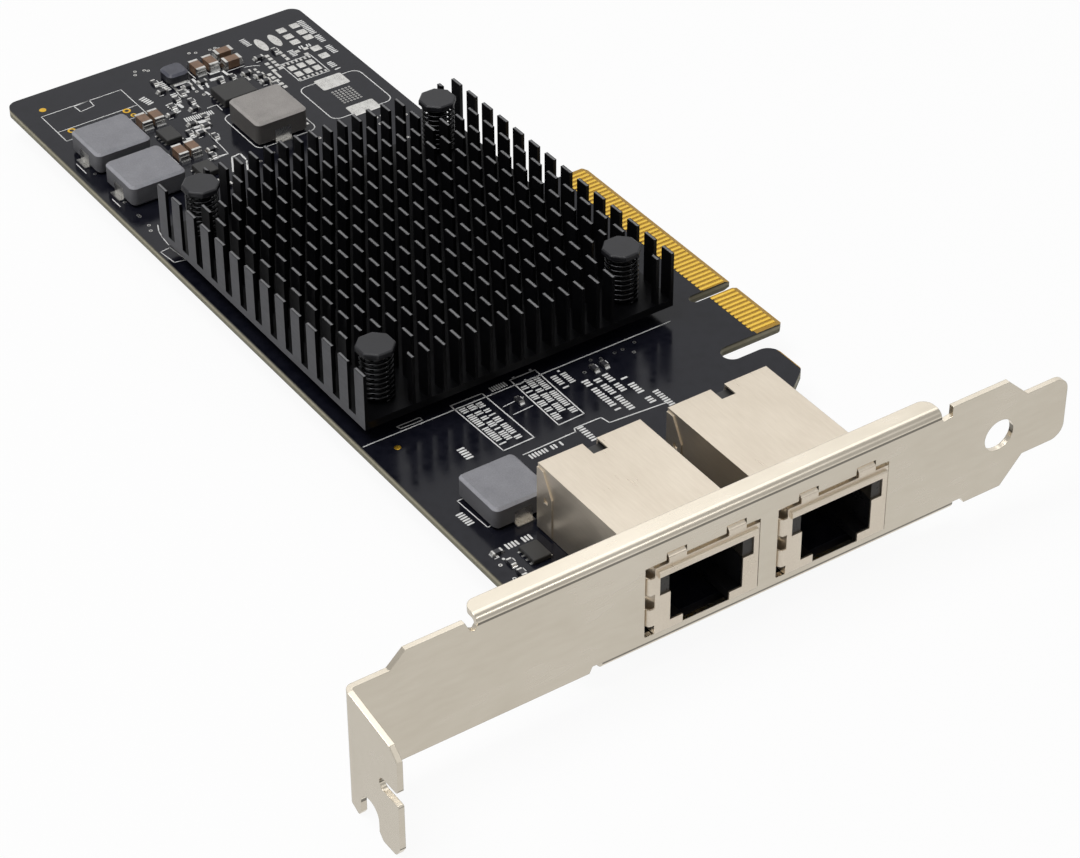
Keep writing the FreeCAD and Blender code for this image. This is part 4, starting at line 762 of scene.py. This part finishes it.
markings = {
    "longLine": [(2.7, -68.6), (2.75, -41.0), (2.7, -14.0)],
    "labelBoxes": [
        [(1.6, -52.9), (14.9, -52.4), (14.8, -47.0), (1.7, -47.4)],
        [(1.3, -42.2), (14.4, -42.4), (14.2, -37.8), (1.3, -37.7)],
    ],
    # rows of bars: start, end, how many, how high, and the seed of an uneven row, 0 for an even one
    "labelRows": [
        ((3.0, -51.9), (13.6, -51.5), 22, 0.95, 3), ((3.0, -50.5), (13.2, -50.1), 21, 0.95, 5),
        ((3.2, -49.1), (13.8, -48.8), 22, 0.95, 7), ((2.6, -41.4), (13.4, -41.5), 22, 0.95, 9),
        ((2.6, -40.0), (12.0, -40.0), 20, 0.95, 11), ((2.6, -38.7), (13.2, -38.6), 22, 0.85, 13),
    ],
    "steppedLine": [(17.3, -50.6), (17.1, -41.3), (16.3, -41.0), (16.4, -36.3), (18.1, -36.0), (18.9, -26.0)],
    "outlines": [
        [(1.4, -62.1), (2.1, -61.8), (2.2, -58.1), (1.4, -58.1)],
        [(-103.3, -65.7), (-94.3, -65.7), (-94.3, -50.7), (-103.3, -50.7)],
        [(-103.1, -59.7), (-101.0, -59.5), (-101.4, -56.8), (-103.3, -56.7)],
        [(-57.4, -68.6), (-57.7, -66.8), (-53.3, -66.3), (-53.7, -68.2)],
    ],
    "openLines": [
        [(6.2, -46.6), (6.0, -44.4), (5.9, -42.9)],
        [(8.6, -46.4), (8.4, -42.9)],
        [(-97.5, -65.6), (-97.5, -50.8)],
        [(20.8, -64.2), (28.1, -63.9)],
        [(20.8, -64.2), (20.8, -62.6)],
        [(28.1, -63.9), (28.1, -62.6)],
        [(-83.1, -45.3), (-76.0, -45.7), (-76.4, -49.2)],
        [(-94.9, -24.6), (-88.5, -24.6), (-88.5, -18.7), (-94.9, -18.7), (-94.9, -24.6)],
        [(-97.7, -30.0), (-97.3, -28.6), (-96.7, -27.6)],
        [(-88.1, -39.9), (-90.0, -39.8), (-90.0, -41.6)],
        [(-87.3, -67.6), (-84.0, -67.6)],
        [(-74.9, -67.7), (-72.3, -67.7)],
        [(-64.3, -65.3), (-62.7, -66.0), (-60.6, -66.4), (-58.4, -66.6)],
    ],
    "rows": [
        ((1.7, -46.0), (1.7, -43.1), 7, 0.9, 0), ((10.8, -57.3), (13.8, -57.3), 5, 0.9, 0),
        ((23.2, -65.6), (26.4, -65.4), 6, 0.9, 0), ((33.2, -64.3), (33.2, -59.9), 8, 0.95, 17),
        ((18.3, -50.2), (18.2, -44.3), 11, 0.8, 19), ((4.0, -36.4), (8.2, -36.3), 8, 0.8, 21),
        ((4.2, -34.8), (7.6, -34.7), 7, 0.8, 23), ((7.5, -33.2), (16.4, -33.1), 15, 0.85, 25),
        ((8.2, -31.5), (17.4, -31.3), 16, 0.85, 27), ((7.9, -29.8), (13.1, -29.7), 9, 0.8, 29),
        ((9.0, -28.0), (17.8, -27.8), 15, 0.85, 31), ((15.4, -26.0), (21.6, -25.8), 11, 0.8, 33),
        ((16.4, -40.2), (20.4, -40.1), 7, 0.8, 35), ((-99.1, -49.2), (-96.4, -48.6), 5, 0.9, 0),
        ((-94.9, -46.5), (-91.4, -46.2), 6, 0.85, 37), ((-101.8, -44.2), (-96.2, -44.2), 10, 0.85, 39),
        ((-105.7, -14.5), (-97.2, -14.5), 16, 0.9, 41), ((-96.4, -14.8), (-92.9, -14.7), 7, 0.9, 43),
        ((-91.6, -17.4), (-88.1, -17.2), 7, 0.9, 57), ((-98.1, -20.9), (-95.9, -20.9), 5, 0.9, 59),
        ((-97.9, -19.2), (-97.6, -16.9), 5, 0.8, 63), ((-105.9, -25.9), (-103.2, -25.7), 6, 0.9, 65),
        ((-92.4, -36.9), (-92.4, -32.2), 8, 0.8, 47), ((-88.8, -46.6), (-88.4, -41.4), 14, 1.1, 0),
        ((45.6, -67.6), (52.4, -67.6), 12, 0.8, 51), ((26.6, -20.4), (33.0, -20.3), 11, 0.85, 53),
        ((34.6, -49.4), (34.6, -44.2), 9, 0.8, 55),
    ],
    # start, end and width of single bars between the small parts
    "bars": [
        ((-99.2, -42.8), (-99.2, -40.0), 0.45), ((-99.0, -40.2), (-96.5, -40.5), 0.45),
        ((-99.3, -39.1), (-95.8, -39.3), 0.5), ((-98.2, -41.8), (-96.3, -41.8), 0.6),
        ((-97.2, -43.1), (-95.7, -43.2), 0.6), ((-97.0, -37.9), (-95.7, -38.2), 0.4),
        ((-94.5, -39.3), (-93.6, -39.2), 0.4), ((-93.9, -45.0), (-92.7, -44.9), 0.6),
        ((-87.0, -45.8), (-86.8, -44.0), 0.8), ((-85.9, -46.2), (-85.7, -44.6), 0.7),
        ((-84.8, -46.4), (-84.6, -44.5), 0.7), ((-83.6, -49.0), (-83.5, -47.8), 0.5),
        ((-99.1, -35.7), (-99.1, -34.3), 0.6), ((-98.6, -33.6), (-97.2, -33.5), 0.5),
        ((-96.8, -33.1), (-95.5, -33.3), 0.5), ((-97.3, -36.5), (-97.2, -34.8), 0.8),
        ((-75.9, -49.2), (-75.9, -45.8), 0.2), ((-74.7, -45.6), (-74.9, -44.1), 0.3),
        ((-74.9, -44.1), (-72.6, -44.2), 0.3), ((-72.6, -44.2), (-70.0, -45.5), 0.3),
        ((-74.6, -45.8), (-70.9, -47.7), 0.3),
    ],
    "dots": [
        (3.9, -49.5), (4.0, -50.0), (2.6, -40.3), (0.9, -38.3), (1.1, -41.4), (3.5, -35.0),
        (33.4, -65.9), (33.5, -65.1), (35.1, -65.9), (34.2, -66.3), (18.9, -52.7), (-90.4, -49.6),
        (-104.2, -33.6), (-97.4, -38.3), (31.2, -50.6),
    ],
    # low and high corner and radius of each outline with rounded corners
    "rounded": [((-86.5, -26.3), (-74.6, -14.5), 1.6), ((-86.2, -41.1), (-74.1, -29.6), 1.5)],
    # a tick beside each small part: where it runs along the part, how far it stands off the middle by a
    # fixed gap and a share of the part's width, and to which side where the part lies along X
    "ticks": {
        "brown_capacitors": {"along": (-1.7, 1.7), "gap": 0.45, "share": 0.5, "side": -1, "width": 0.14},
        "small_resistors": {"along": (-0.9, -0.2), "gap": 0.85, "share": 0.0, "side": 1, "width": 0.13},
    },
    "bold": 0.2,
    "thin": 0.16,
    "roundedWidth": 0.18,
}


def printTicks(name, tick):
    for low, high in solidBoxes(name):
        middle = (low + high) / 2 / mm
        size = (high - low) / mm
        off = tick["gap"] + min(size.x, size.y) * tick["share"]
        if size.x > size.y:
            ends = [(middle.x + along, middle.y + off * tick["side"]) for along in tick["along"]]
        else:
            ends = [(middle.x + off, middle.y + along) for along in tick["along"]]
        printLine(ends, tick["width"])


def roundedOutline(low, high, radius, width):
    # a closed printed line with rounded corners
    clearSelection()
    bpy.ops.mesh.primitive_plane_add(size=1.0, location=(0.0, 0.0, 0.0))
    line = bpy.context.object
    line.scale = ((high[0] - low[0]) * mm, (high[1] - low[1]) * mm, 1.0)
    line.location = ((low[0] + high[0]) / 2 * mm, (low[1] + high[1]) / 2 * mm, 0.0)
    bakePlace(line)
    startEdit(line)
    selectAll()
    bpy.ops.mesh.bevel(offset=radius * mm, segments=inkShape["outlineCorner"], affect="VERTICES")
    selectAll()
    keepRim(width * mm, inkShape["thick"])
    inkBars.append(line)


def printMarkings(look):
    printLine(look["longLine"], look["bold"])
    for corners in look["labelBoxes"]:
        printLine(corners, look["bold"], closed=True)
    for corners in look["outlines"]:
        printLine(corners, look["thin"], closed=True)
    printLine(look["steppedLine"], look["bold"])
    for points in look["openLines"]:
        printLine(points, look["thin"])
    for start, end, count, height, uneven in look["labelRows"] + look["rows"]:
        printRow(start, end, count, height, uneven=uneven)
    for start, end, width in look["bars"]:
        printLine([start, end], width)
    for x, y in look["dots"]:
        printLine([(x, y), (x + inkShape["dotLong"], y)], inkShape["dot"])
    for name, tick in look["ticks"].items():
        printTicks(name, tick)


# On the solder side: outlines round the leads and rows of short bars
undersideMarkings = {
    # how far an outline stands off the part it frames
    "framed": {"controller_substrate": 1.0, "jack_1_pins": 1.8, "jack_2_pins": 1.8},
    "rows": [
        ((-90.0, -20.0), (-70.0, -20.0), 26, 1.0, 61), ((-90.0, -22.4), (-76.0, -22.4), 18, 1.0, 63),
        ((-60.0, -64.8), (-44.0, -64.8), 20, 1.0, 65), ((-98.0, -60.0), (-98.0, -50.0), 15, 0.9, 67),
        ((8.0, -62.0), (8.0, -54.0), 12, 0.9, 69), ((-50.0, -16.0), (-40.0, -16.0), 14, 0.9, 71),
    ],
    "frameWidth": 0.18,
}


def printUnderside(look):
    for name, gap in look["framed"].items():
        low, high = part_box(name)
        left, right = low.x / mm - gap, high.x / mm + gap
        near, far = low.y / mm - gap, high.y / mm + gap
        corners = [(left, near), (right, near), (right, far), (left, far)]
        printLine(corners, look["frameWidth"], side=-1, closed=True)
    for start, end, count, height, uneven in look["rows"]:
        printRow(start, end, count, height, side=-1, uneven=uneven)


printMarkings(markings)
printUnderside(undersideMarkings)
for low, high, radius in markings["rounded"]:
    roundedOutline(low, high, radius, markings["roundedWidth"])
gather("board_markings", inkBars, made["markingInk"])
drop(dash)
print("stage: markings")


# Bare tinned pads, plated holes and gold rings. Borders and corners are shares of a pattern's size
padShape = {
    "thick": 0.04 * mm,
    "corner": 0.08,
    "border": 0.06,
    "rise": 0.8,  # how far the middle stands above the border, in thicknesses
    "sides": 20,
    "ringInner": 0.52,
    "dotBorder": 0.18,
}


def crownTop(piece, top, border, rise):
    # lifts the middle of the top face
    pick(piece, "FACE", lambda face: face.calc_center_median().z > top * 0.9)
    bpy.ops.mesh.inset(thickness=border, depth=0.0)
    bpy.ops.transform.translate(value=(0.0, 0.0, rise))
    closeUp()


def makePad(shape):
    pad = startPlate(shape["corner"])
    thicken(shape["thick"])
    crownTop(pad, shape["thick"], shape["border"], shape["thick"] * shape["rise"])
    return pad


def makeRing(shape):
    ring = startDisc(shape["sides"])
    keepRim(1.0 - shape["ringInner"], shape["thick"])
    return ring


def makeDot(shape):
    # half its height is a flat foot, the other half a crown
    dot = startDisc(shape["sides"])
    thicken(shape["thick"] / 2)
    crownTop(dot, shape["thick"] / 2, shape["dotBorder"], shape["thick"] / 2)
    return dot


barePads = {
    # x, y, width, height of each tinned pad
    "pads": [
        (-104.5, -18.7, 1.5, 1.6), (-102.1, -18.7, 1.5, 1.6), (-99.9, -18.7, 1.5, 1.6),
        (-104.6, -16.0, 1.5, 1.6), (-102.1, -16.0, 1.5, 1.6), (-100.0, -16.0, 1.5, 1.6),
        (-96.1, -16.8, 1.6, 1.7), (-93.3, -16.9, 1.6, 1.7),
        (-85.3, -20.2, 3.6, 5.2), (-75.4, -20.1, 3.2, 5.2),
        (-97.0, -18.3, 0.8, 0.9), (-97.0, -20.0, 0.8, 0.9), (-95.4, -19.1, 0.7, 0.8),
        (-92.4, -26.6, 2.2, 0.5), (-89.6, -28.9, 2.4, 0.5), (-93.6, -29.9, 2.4, 0.45),
        (-94.9, -31.3, 2.6, 0.45), (-98.4, -43.0, 3.0, 0.5),
    ],
    # rows of small pads: first, last, how many, width and height of each
    "padRows": [
        ((-98.6, -25.0), (-94.0, -25.1), 5, 0.8, 0.8), ((-96.4, -26.3), (-93.9, -26.4), 3, 0.8, 0.8),
        ((-93.2, -27.7), (-88.4, -27.5), 5, 0.8, 0.8), ((-99.6, -22.6), (-95.9, -22.6), 4, 0.9, 0.7),
        ((-94.4, -24.2), (-94.4, -19.2), 7, 0.7, 0.42), ((-89.0, -24.2), (-89.0, -19.2), 7, 0.7, 0.42),
        ((-92.8, -23.5), (-92.8, -19.9), 3, 1.5, 1.3), ((-90.6, -23.5), (-90.6, -19.9), 3, 1.5, 1.3),
        ((-96.0, -28.9), (-91.0, -28.7), 6, 0.65, 0.55), ((-80.6, -30.6), (-76.4, -30.6), 5, 0.6, 0.9),
        ((45.2, -36.2), (45.2, -33.6), 3, 0.7, 0.8),
    ],
    "ovals": [(-102.35, -23.95, 2.2, 0.8), (-102.35, -21.25, 2.2, 0.8)],
    "thermalHoles": {"x": (-82.3, -78.4), "y": (-21.9, -18.7), "columns": 7, "rows": 6, "radius": 0.2},
    # x, y, outer radius of each gold ring
    "rings": [(-96.7, -63.5, 0.7), (-96.9, -53.1, 0.7), (-95.1, -52.8, 0.5)],
    "goldDots": [(5.6, -64.6, 0.55), (-105.1, -64.5, 0.6), (47.0, -17.0, 0.55)],
}


def evenly(first, last, count):
    return [first + (last - first) * step / (count - 1) for step in range(count)]


def layPads(look, ring):
    pad = makePad(padShape)
    dot = makeDot(padShape)
    tinnedPads = [lay(pad, *place) for place in look["pads"]]
    for start, end, count, wide, high in look["padRows"]:
        for x, y in zip(evenly(start[0], end[0], count), evenly(start[1], end[1], count)):
            tinnedPads.append(lay(pad, x, y, wide, high))
    tinnedPads += [lay(dot, *place) for place in look["ovals"]]
    holes = look["thermalHoles"]
    for x in evenly(*holes["x"], holes["columns"]):
        for y in evenly(*holes["y"], holes["rows"]):
            tinnedPads.append(lay(ring, x, y, holes["radius"], holes["radius"]))
    gather("bare_pads", tinnedPads, made["tinned"])
    golden = [lay(ring, x, y, radius, radius) for x, y, radius in look["rings"]]
    golden += [lay(dot, x, y, radius, radius) for x, y, radius in look["goldDots"]]
    gather("gold_spots", golden, made["padGold"])
    drop(pad, dot)


# Plated through holes, in loose groups where the copper areas are
holeGroups = {
    "topSide": [
        ((-72.0, -46.0), (-70.5, -30.0), 8), ((-108.0, -48.0), (-105.5, -28.0), 9),
        ((-94.0, -60.0), (-90.5, -55.0), 5), ((21.0, -30.0), (27.5, -22.0), 9),
        ((3.8, -33.6), (6.5, -16.0), 7), ((36.0, -67.6), (48.0, -65.6), 8),
        ((-100.0, -41.5), (-94.0, -38.5), 6), ((28.0, -20.0), (30.6, -13.6), 6),
        ((-72.0, -22.0), (-61.0, -14.5), 8), ((20.0, -53.6), (31.0, -51.4), 7),
        ((-94.0, -67.0), (-62.0, -66.2), 8),
    ],
    "underSide": [
        ((-100.0, -60.0), (-60.0, -20.0), 44), ((-58.0, -60.0), (-30.0, -12.0), 36),
        ((-4.0, -62.0), (22.0, -14.0), 34), ((42.0, -64.0), (46.0, -20.0), 12),
    ],
    "radius": 0.3,
    "perMillimetre": 2,  # holes sit on a half-millimetre grid
    "seed": 4,
}


def platedHoles(look, ring):
    rings = []
    places = random.Random(look["seed"])
    fine = look["perMillimetre"]
    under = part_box("circuit_board")[0].z - padShape["thick"]
    for side, level in (("topSide", 0.0), ("underSide", under)):
        for low, high, count in look[side]:
            for step in range(count):
                x = round(places.uniform(low[0], high[0]) * fine) / fine
                y = round(places.uniform(low[1], high[1]) * fine) / fine
                rings.append(lay(ring, x, y, look["radius"], look["radius"], level))
    gather("plated_holes", rings, made["tinned"])


ring = makeRing(padShape)
layPads(barePads, ring)
platedHoles(holeGroups, ring)
drop(ring)
print("stage: pads and holes")


# Solder fillets at the ends of the small parts, on both sides of the board
filletShape = {
    "climb": 0.62,  # share of the end's height
    "hollow": 0.8,
    "profile": 0.2,
    # ends, the bodies they belong to, and how far the solder reaches out
    "ends": [
        ("capacitor_ends", "brown_capacitors", 0.4 * mm),
        ("resistor_ends", "small_resistors", 0.32 * mm),
        ("bypass_capacitor_ends", "bypass_capacitors", 0.28 * mm),
    ],
}


def makeFillet(shape):
    # a hollowed wedge: 1 out from the end, 1 wide, 1 high, open below
    clearSelection()
    bpy.ops.mesh.primitive_cube_add(size=1.0, location=(0.5, 0.0, 0.5))
    wedge = bpy.context.object
    bakePlace(wedge)
    startEdit(wedge)
    pick(wedge, "EDGE", lambda edge: all(point.co.x > 0.99 and point.co.z > 0.99 for point in edge.verts))
    bpy.ops.mesh.bevel(offset=shape["hollow"], segments=3, profile=shape["profile"])
    pick(wedge, "FACE", lambda face: face.normal.z < -squareOn)
    bpy.ops.mesh.delete(type="FACE")
    endEdit()
    return wedge


def filletEnds(wedge, endsNode, bodyNode, reach, climb):
    fillets = []
    bodies = [(low + high) / 2 for low, high in solidBoxes(bodyNode)]
    boardLow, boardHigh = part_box("circuit_board")
    for low, high in solidBoxes(endsNode):
        middle = (low + high) / 2
        size = high - low
        away = middle - min(bodies, key=lambda body: (body - middle).length)
        onTop = middle.z > (boardLow.z + boardHigh.z) / 2
        level = 0.0 if onTop else boardLow.z
        lift = (high.z if onTop else low.z - boardLow.z) * climb
        if abs(away.x) > abs(away.y):
            side = 1.0 if away.x > 0 else -1.0
            edge = high.x if side > 0 else low.x
            fillets.append(stamp(wedge, edge, middle.y, level, 0.0, (side * reach, size.y, lift)))
        else:
            side = 1.0 if away.y > 0 else -1.0
            edge = high.y if side > 0 else low.y
            turn = math.pi / 2 * side
            fillets.append(stamp(wedge, middle.x, edge, level, turn, (reach, size.x, lift)))
    return fillets


def solderEnds(shape):
    wedge = makeFillet(shape)
    fillets = []
    for endsNode, bodyNode, reach in shape["ends"]:
        fillets += filletEnds(wedge, endsNode, bodyNode, reach, shape["climb"])
    gather("solder_fillets", fillets, made["solder"])
    drop(wedge)


solderEnds(filletShape)
print("stage: solder fillets")


# Solder cones where the leads come through to the underside
coneShape = {
    "foot": 0.95 * mm,
    "neck": 0.36 * mm,
    "tall": 0.95 * mm,
    "sides": 12,
    # share of the height and narrowing of each ring that hollows the flank
    "rings": [(0.4, 0.72), (0.15, 0.9)],
    "leadShare": 0.85,  # how far up its lead a cone climbs
    "smoothAngle": 60.0,
}


def makeCone(shape):
    clearSelection()
    bpy.ops.mesh.primitive_cone_add(
        vertices=shape["sides"], radius1=shape["foot"], radius2=shape["neck"], depth=shape["tall"],
        end_fill_type="NOTHING", location=(0.0, 0.0, shape["tall"] / 2))
    cone = bpy.context.object
    bakePlace(cone)
    startEdit(cone)
    for share, narrowing in shape["rings"]:
        level = shape["tall"] * share
        selectAll()
        bpy.ops.mesh.bisect(plane_co=(0.0, 0.0, level), plane_no=(0.0, 0.0, 1.0))
        pick(cone, "VERT", lambda point: abs(point.co.z - level) < shape["tall"] * 0.02)
        bpy.ops.transform.resize(value=(narrowing, narrowing, 1.0))
    closeUp()
    bpy.ops.object.shade_smooth_by_angle(angle=math.radians(shape["smoothAngle"]))
    return cone


def solderLeads(shape):
    cone = makeCone(shape)
    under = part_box("circuit_board")[0].z
    cones = []
    for name in ("jack_1_pins", "jack_2_pins"):
        for low, high in solidBoxes(name):
            middle = (low + high) / 2
            tall = min(1.0, (under - low.z) / shape["tall"] * shape["leadShare"])
            cones.append(stamp(cone, middle.x, middle.y, under, 0.0, (1.0, 1.0, -tall)))
    gather("lead_solder", cones, made["solder"])
    drop(cone)


solderLeads(coneShape)
print("stage: lead solder")


# Camera at the photograph's viewpoint
cameraSetting = {
    "place": (0.33085, -0.2598, 0.29519),
    "azimuth": 57.124,
    "elevation": 37.777,
    "roll": -0.975,
    "lens": 110.954,
    "sensor": 36.0,
    "shift": (0.0512, 0.0089),
    "clip": (0.01, 10.0),
}


def makeCamera(setting):
    data = bpy.data.cameras.new("camera")
    camera = bpy.data.objects.new("camera", data)
    bpy.context.scene.collection.objects.link(camera)
    data.sensor_width = setting["sensor"]
    data.lens = setting["lens"]
    data.shift_x, data.shift_y = setting["shift"]
    data.clip_start, data.clip_end = setting["clip"]
    turn = (Matrix.Rotation(math.radians(setting["azimuth"]), 4, "Z")
            @ Matrix.Rotation(math.radians(90.0 - setting["elevation"]), 4, "X")
            @ Matrix.Rotation(math.radians(setting["roll"]), 4, "Z"))
    camera.matrix_world = Matrix.Translation(setting["place"]) @ turn
    bpy.context.scene.camera = camera


makeCamera(cameraSetting)


# White floor, a pale backdrop behind the card and soft light from above
stageLook = {
    "floorSize": 5.0,
    "floorColour": (0.86, 0.86, 0.86),
    "floorRough": 0.9,
    "floorSpecular": 0.1,
    "floorWhite": 0.93,
    "floorInMetal": 0.79,
    "ambient": 0.22,
    "roomInMetal": 0.42,
    "backdrop": {"distance": 1.8, "wide": 3.4, "tall": 2.3, "azimuth": 147.1, "inMetal": 0.86},
    "lamps": {
        "key": {"place": (-0.12, -0.36, 0.88), "size": 0.6, "power": 6.2},
        "top": {"place": (-0.3, 0.35, 0.85), "size": 0.5, "power": 0.8},
        "glint": {"place": (0.5, 0.24, 0.5), "size": 0.04, "power": 0.15},
    },
}


def seenDirectly(tree, straight, mirrored):
    # a share for camera and glass rays, one for mirror rays, and 0 for the light on the object
    path = tree.nodes.new("ShaderNodeLightPath")
    through = maths(tree, "MAXIMUM", path.outputs["Is Camera Ray"], path.outputs["Is Transmission Ray"])
    return maths(tree, "MAXIMUM", maths(tree, "MULTIPLY", through, straight),
                 maths(tree, "MULTIPLY", path.outputs["Is Glossy Ray"], mirrored))


def makeWorld(look):
    world = bpy.data.worlds.new("studio")
    world.use_nodes = True
    bpy.context.scene.world = world
    tree = world.node_tree
    sky = tree.nodes["Background"]
    sky.inputs["Color"].default_value = (1.0, 1.0, 1.0, 1.0)
    level = maths(tree, "MAXIMUM", seenDirectly(tree, 1.0, look["roomInMetal"]), look["ambient"])
    tree.links.new(level, sky.inputs["Strength"])


def makeFloor(look):
    clearSelection()
    bpy.ops.mesh.primitive_plane_add(size=look["floorSize"], location=(0.0, 0.0, cadLow.z))
    floor = bpy.context.object
    floor.name = "studio_floor"
    material, tree, paint = newMaterial("floorWhite")
    paint.inputs["Base Color"].default_value = (*look["floorColour"], 1.0)
    paint.inputs["Roughness"].default_value = look["floorRough"]
    paint.inputs["Specular IOR Level"].default_value = look["floorSpecular"]
    glow = tree.nodes.new("ShaderNodeEmission")
    tree.links.new(seenDirectly(tree, 1.0, look["floorInMetal"]), glow.inputs["Strength"])
    blend = tree.nodes.new("ShaderNodeMixShader")
    tree.links.new(seenDirectly(tree, look["floorWhite"], 1.0), blend.inputs["Fac"])
    tree.links.new(paint.outputs["BSDF"], blend.inputs[1])
    tree.links.new(glow.outputs["Emission"], blend.inputs[2])
    tree.links.new(blend.outputs["Shader"], tree.nodes["Material Output"].inputs["Surface"])
    floor.data.materials.append(material)


def makeBackdrop(look):
    screen = look["backdrop"]
    turn = math.radians(screen["azimuth"])
    clearSelection()
    bpy.ops.mesh.primitive_plane_add(
        size=1.0, rotation=(math.pi / 2, 0.0, turn + math.pi / 2),
        location=(screen["distance"] * math.cos(turn), screen["distance"] * math.sin(turn),
                  cadLow.z + screen["tall"] / 2))
    backdrop = bpy.context.object
    backdrop.name = "studio_backdrop"
    backdrop.scale = (screen["wide"], screen["tall"], 1.0)
    bakePlace(backdrop)
    material, tree, paint = newMaterial("backdropWhite")
    tree.nodes.remove(paint)
    glow = tree.nodes.new("ShaderNodeEmission")
    level = maths(tree, "MAXIMUM", seenDirectly(tree, 1.0, screen["inMetal"]), look["ambient"])
    tree.links.new(level, glow.inputs["Strength"])
    tree.links.new(glow.outputs["Emission"], tree.nodes["Material Output"].inputs["Surface"])
    backdrop.data.materials.append(material)


def makeLamps(look):
    aim = (cadLow + cadHigh) / 2
    for name, lamp in look["lamps"].items():
        data = bpy.data.lights.new(name, "AREA")
        data.size = lamp["size"]
        data.energy = lamp["power"]
        light = bpy.data.objects.new(name, data)
        bpy.context.scene.collection.objects.link(light)
        light.location = lamp["place"]
        light.rotation_euler = (aim - light.location).to_track_quat("-Z", "Y").to_euler()


makeWorld(stageLook)
makeFloor(stageLook)
makeBackdrop(stageLook)
makeLamps(stageLook)
print("stage: camera, floor and light")

clearSelection()
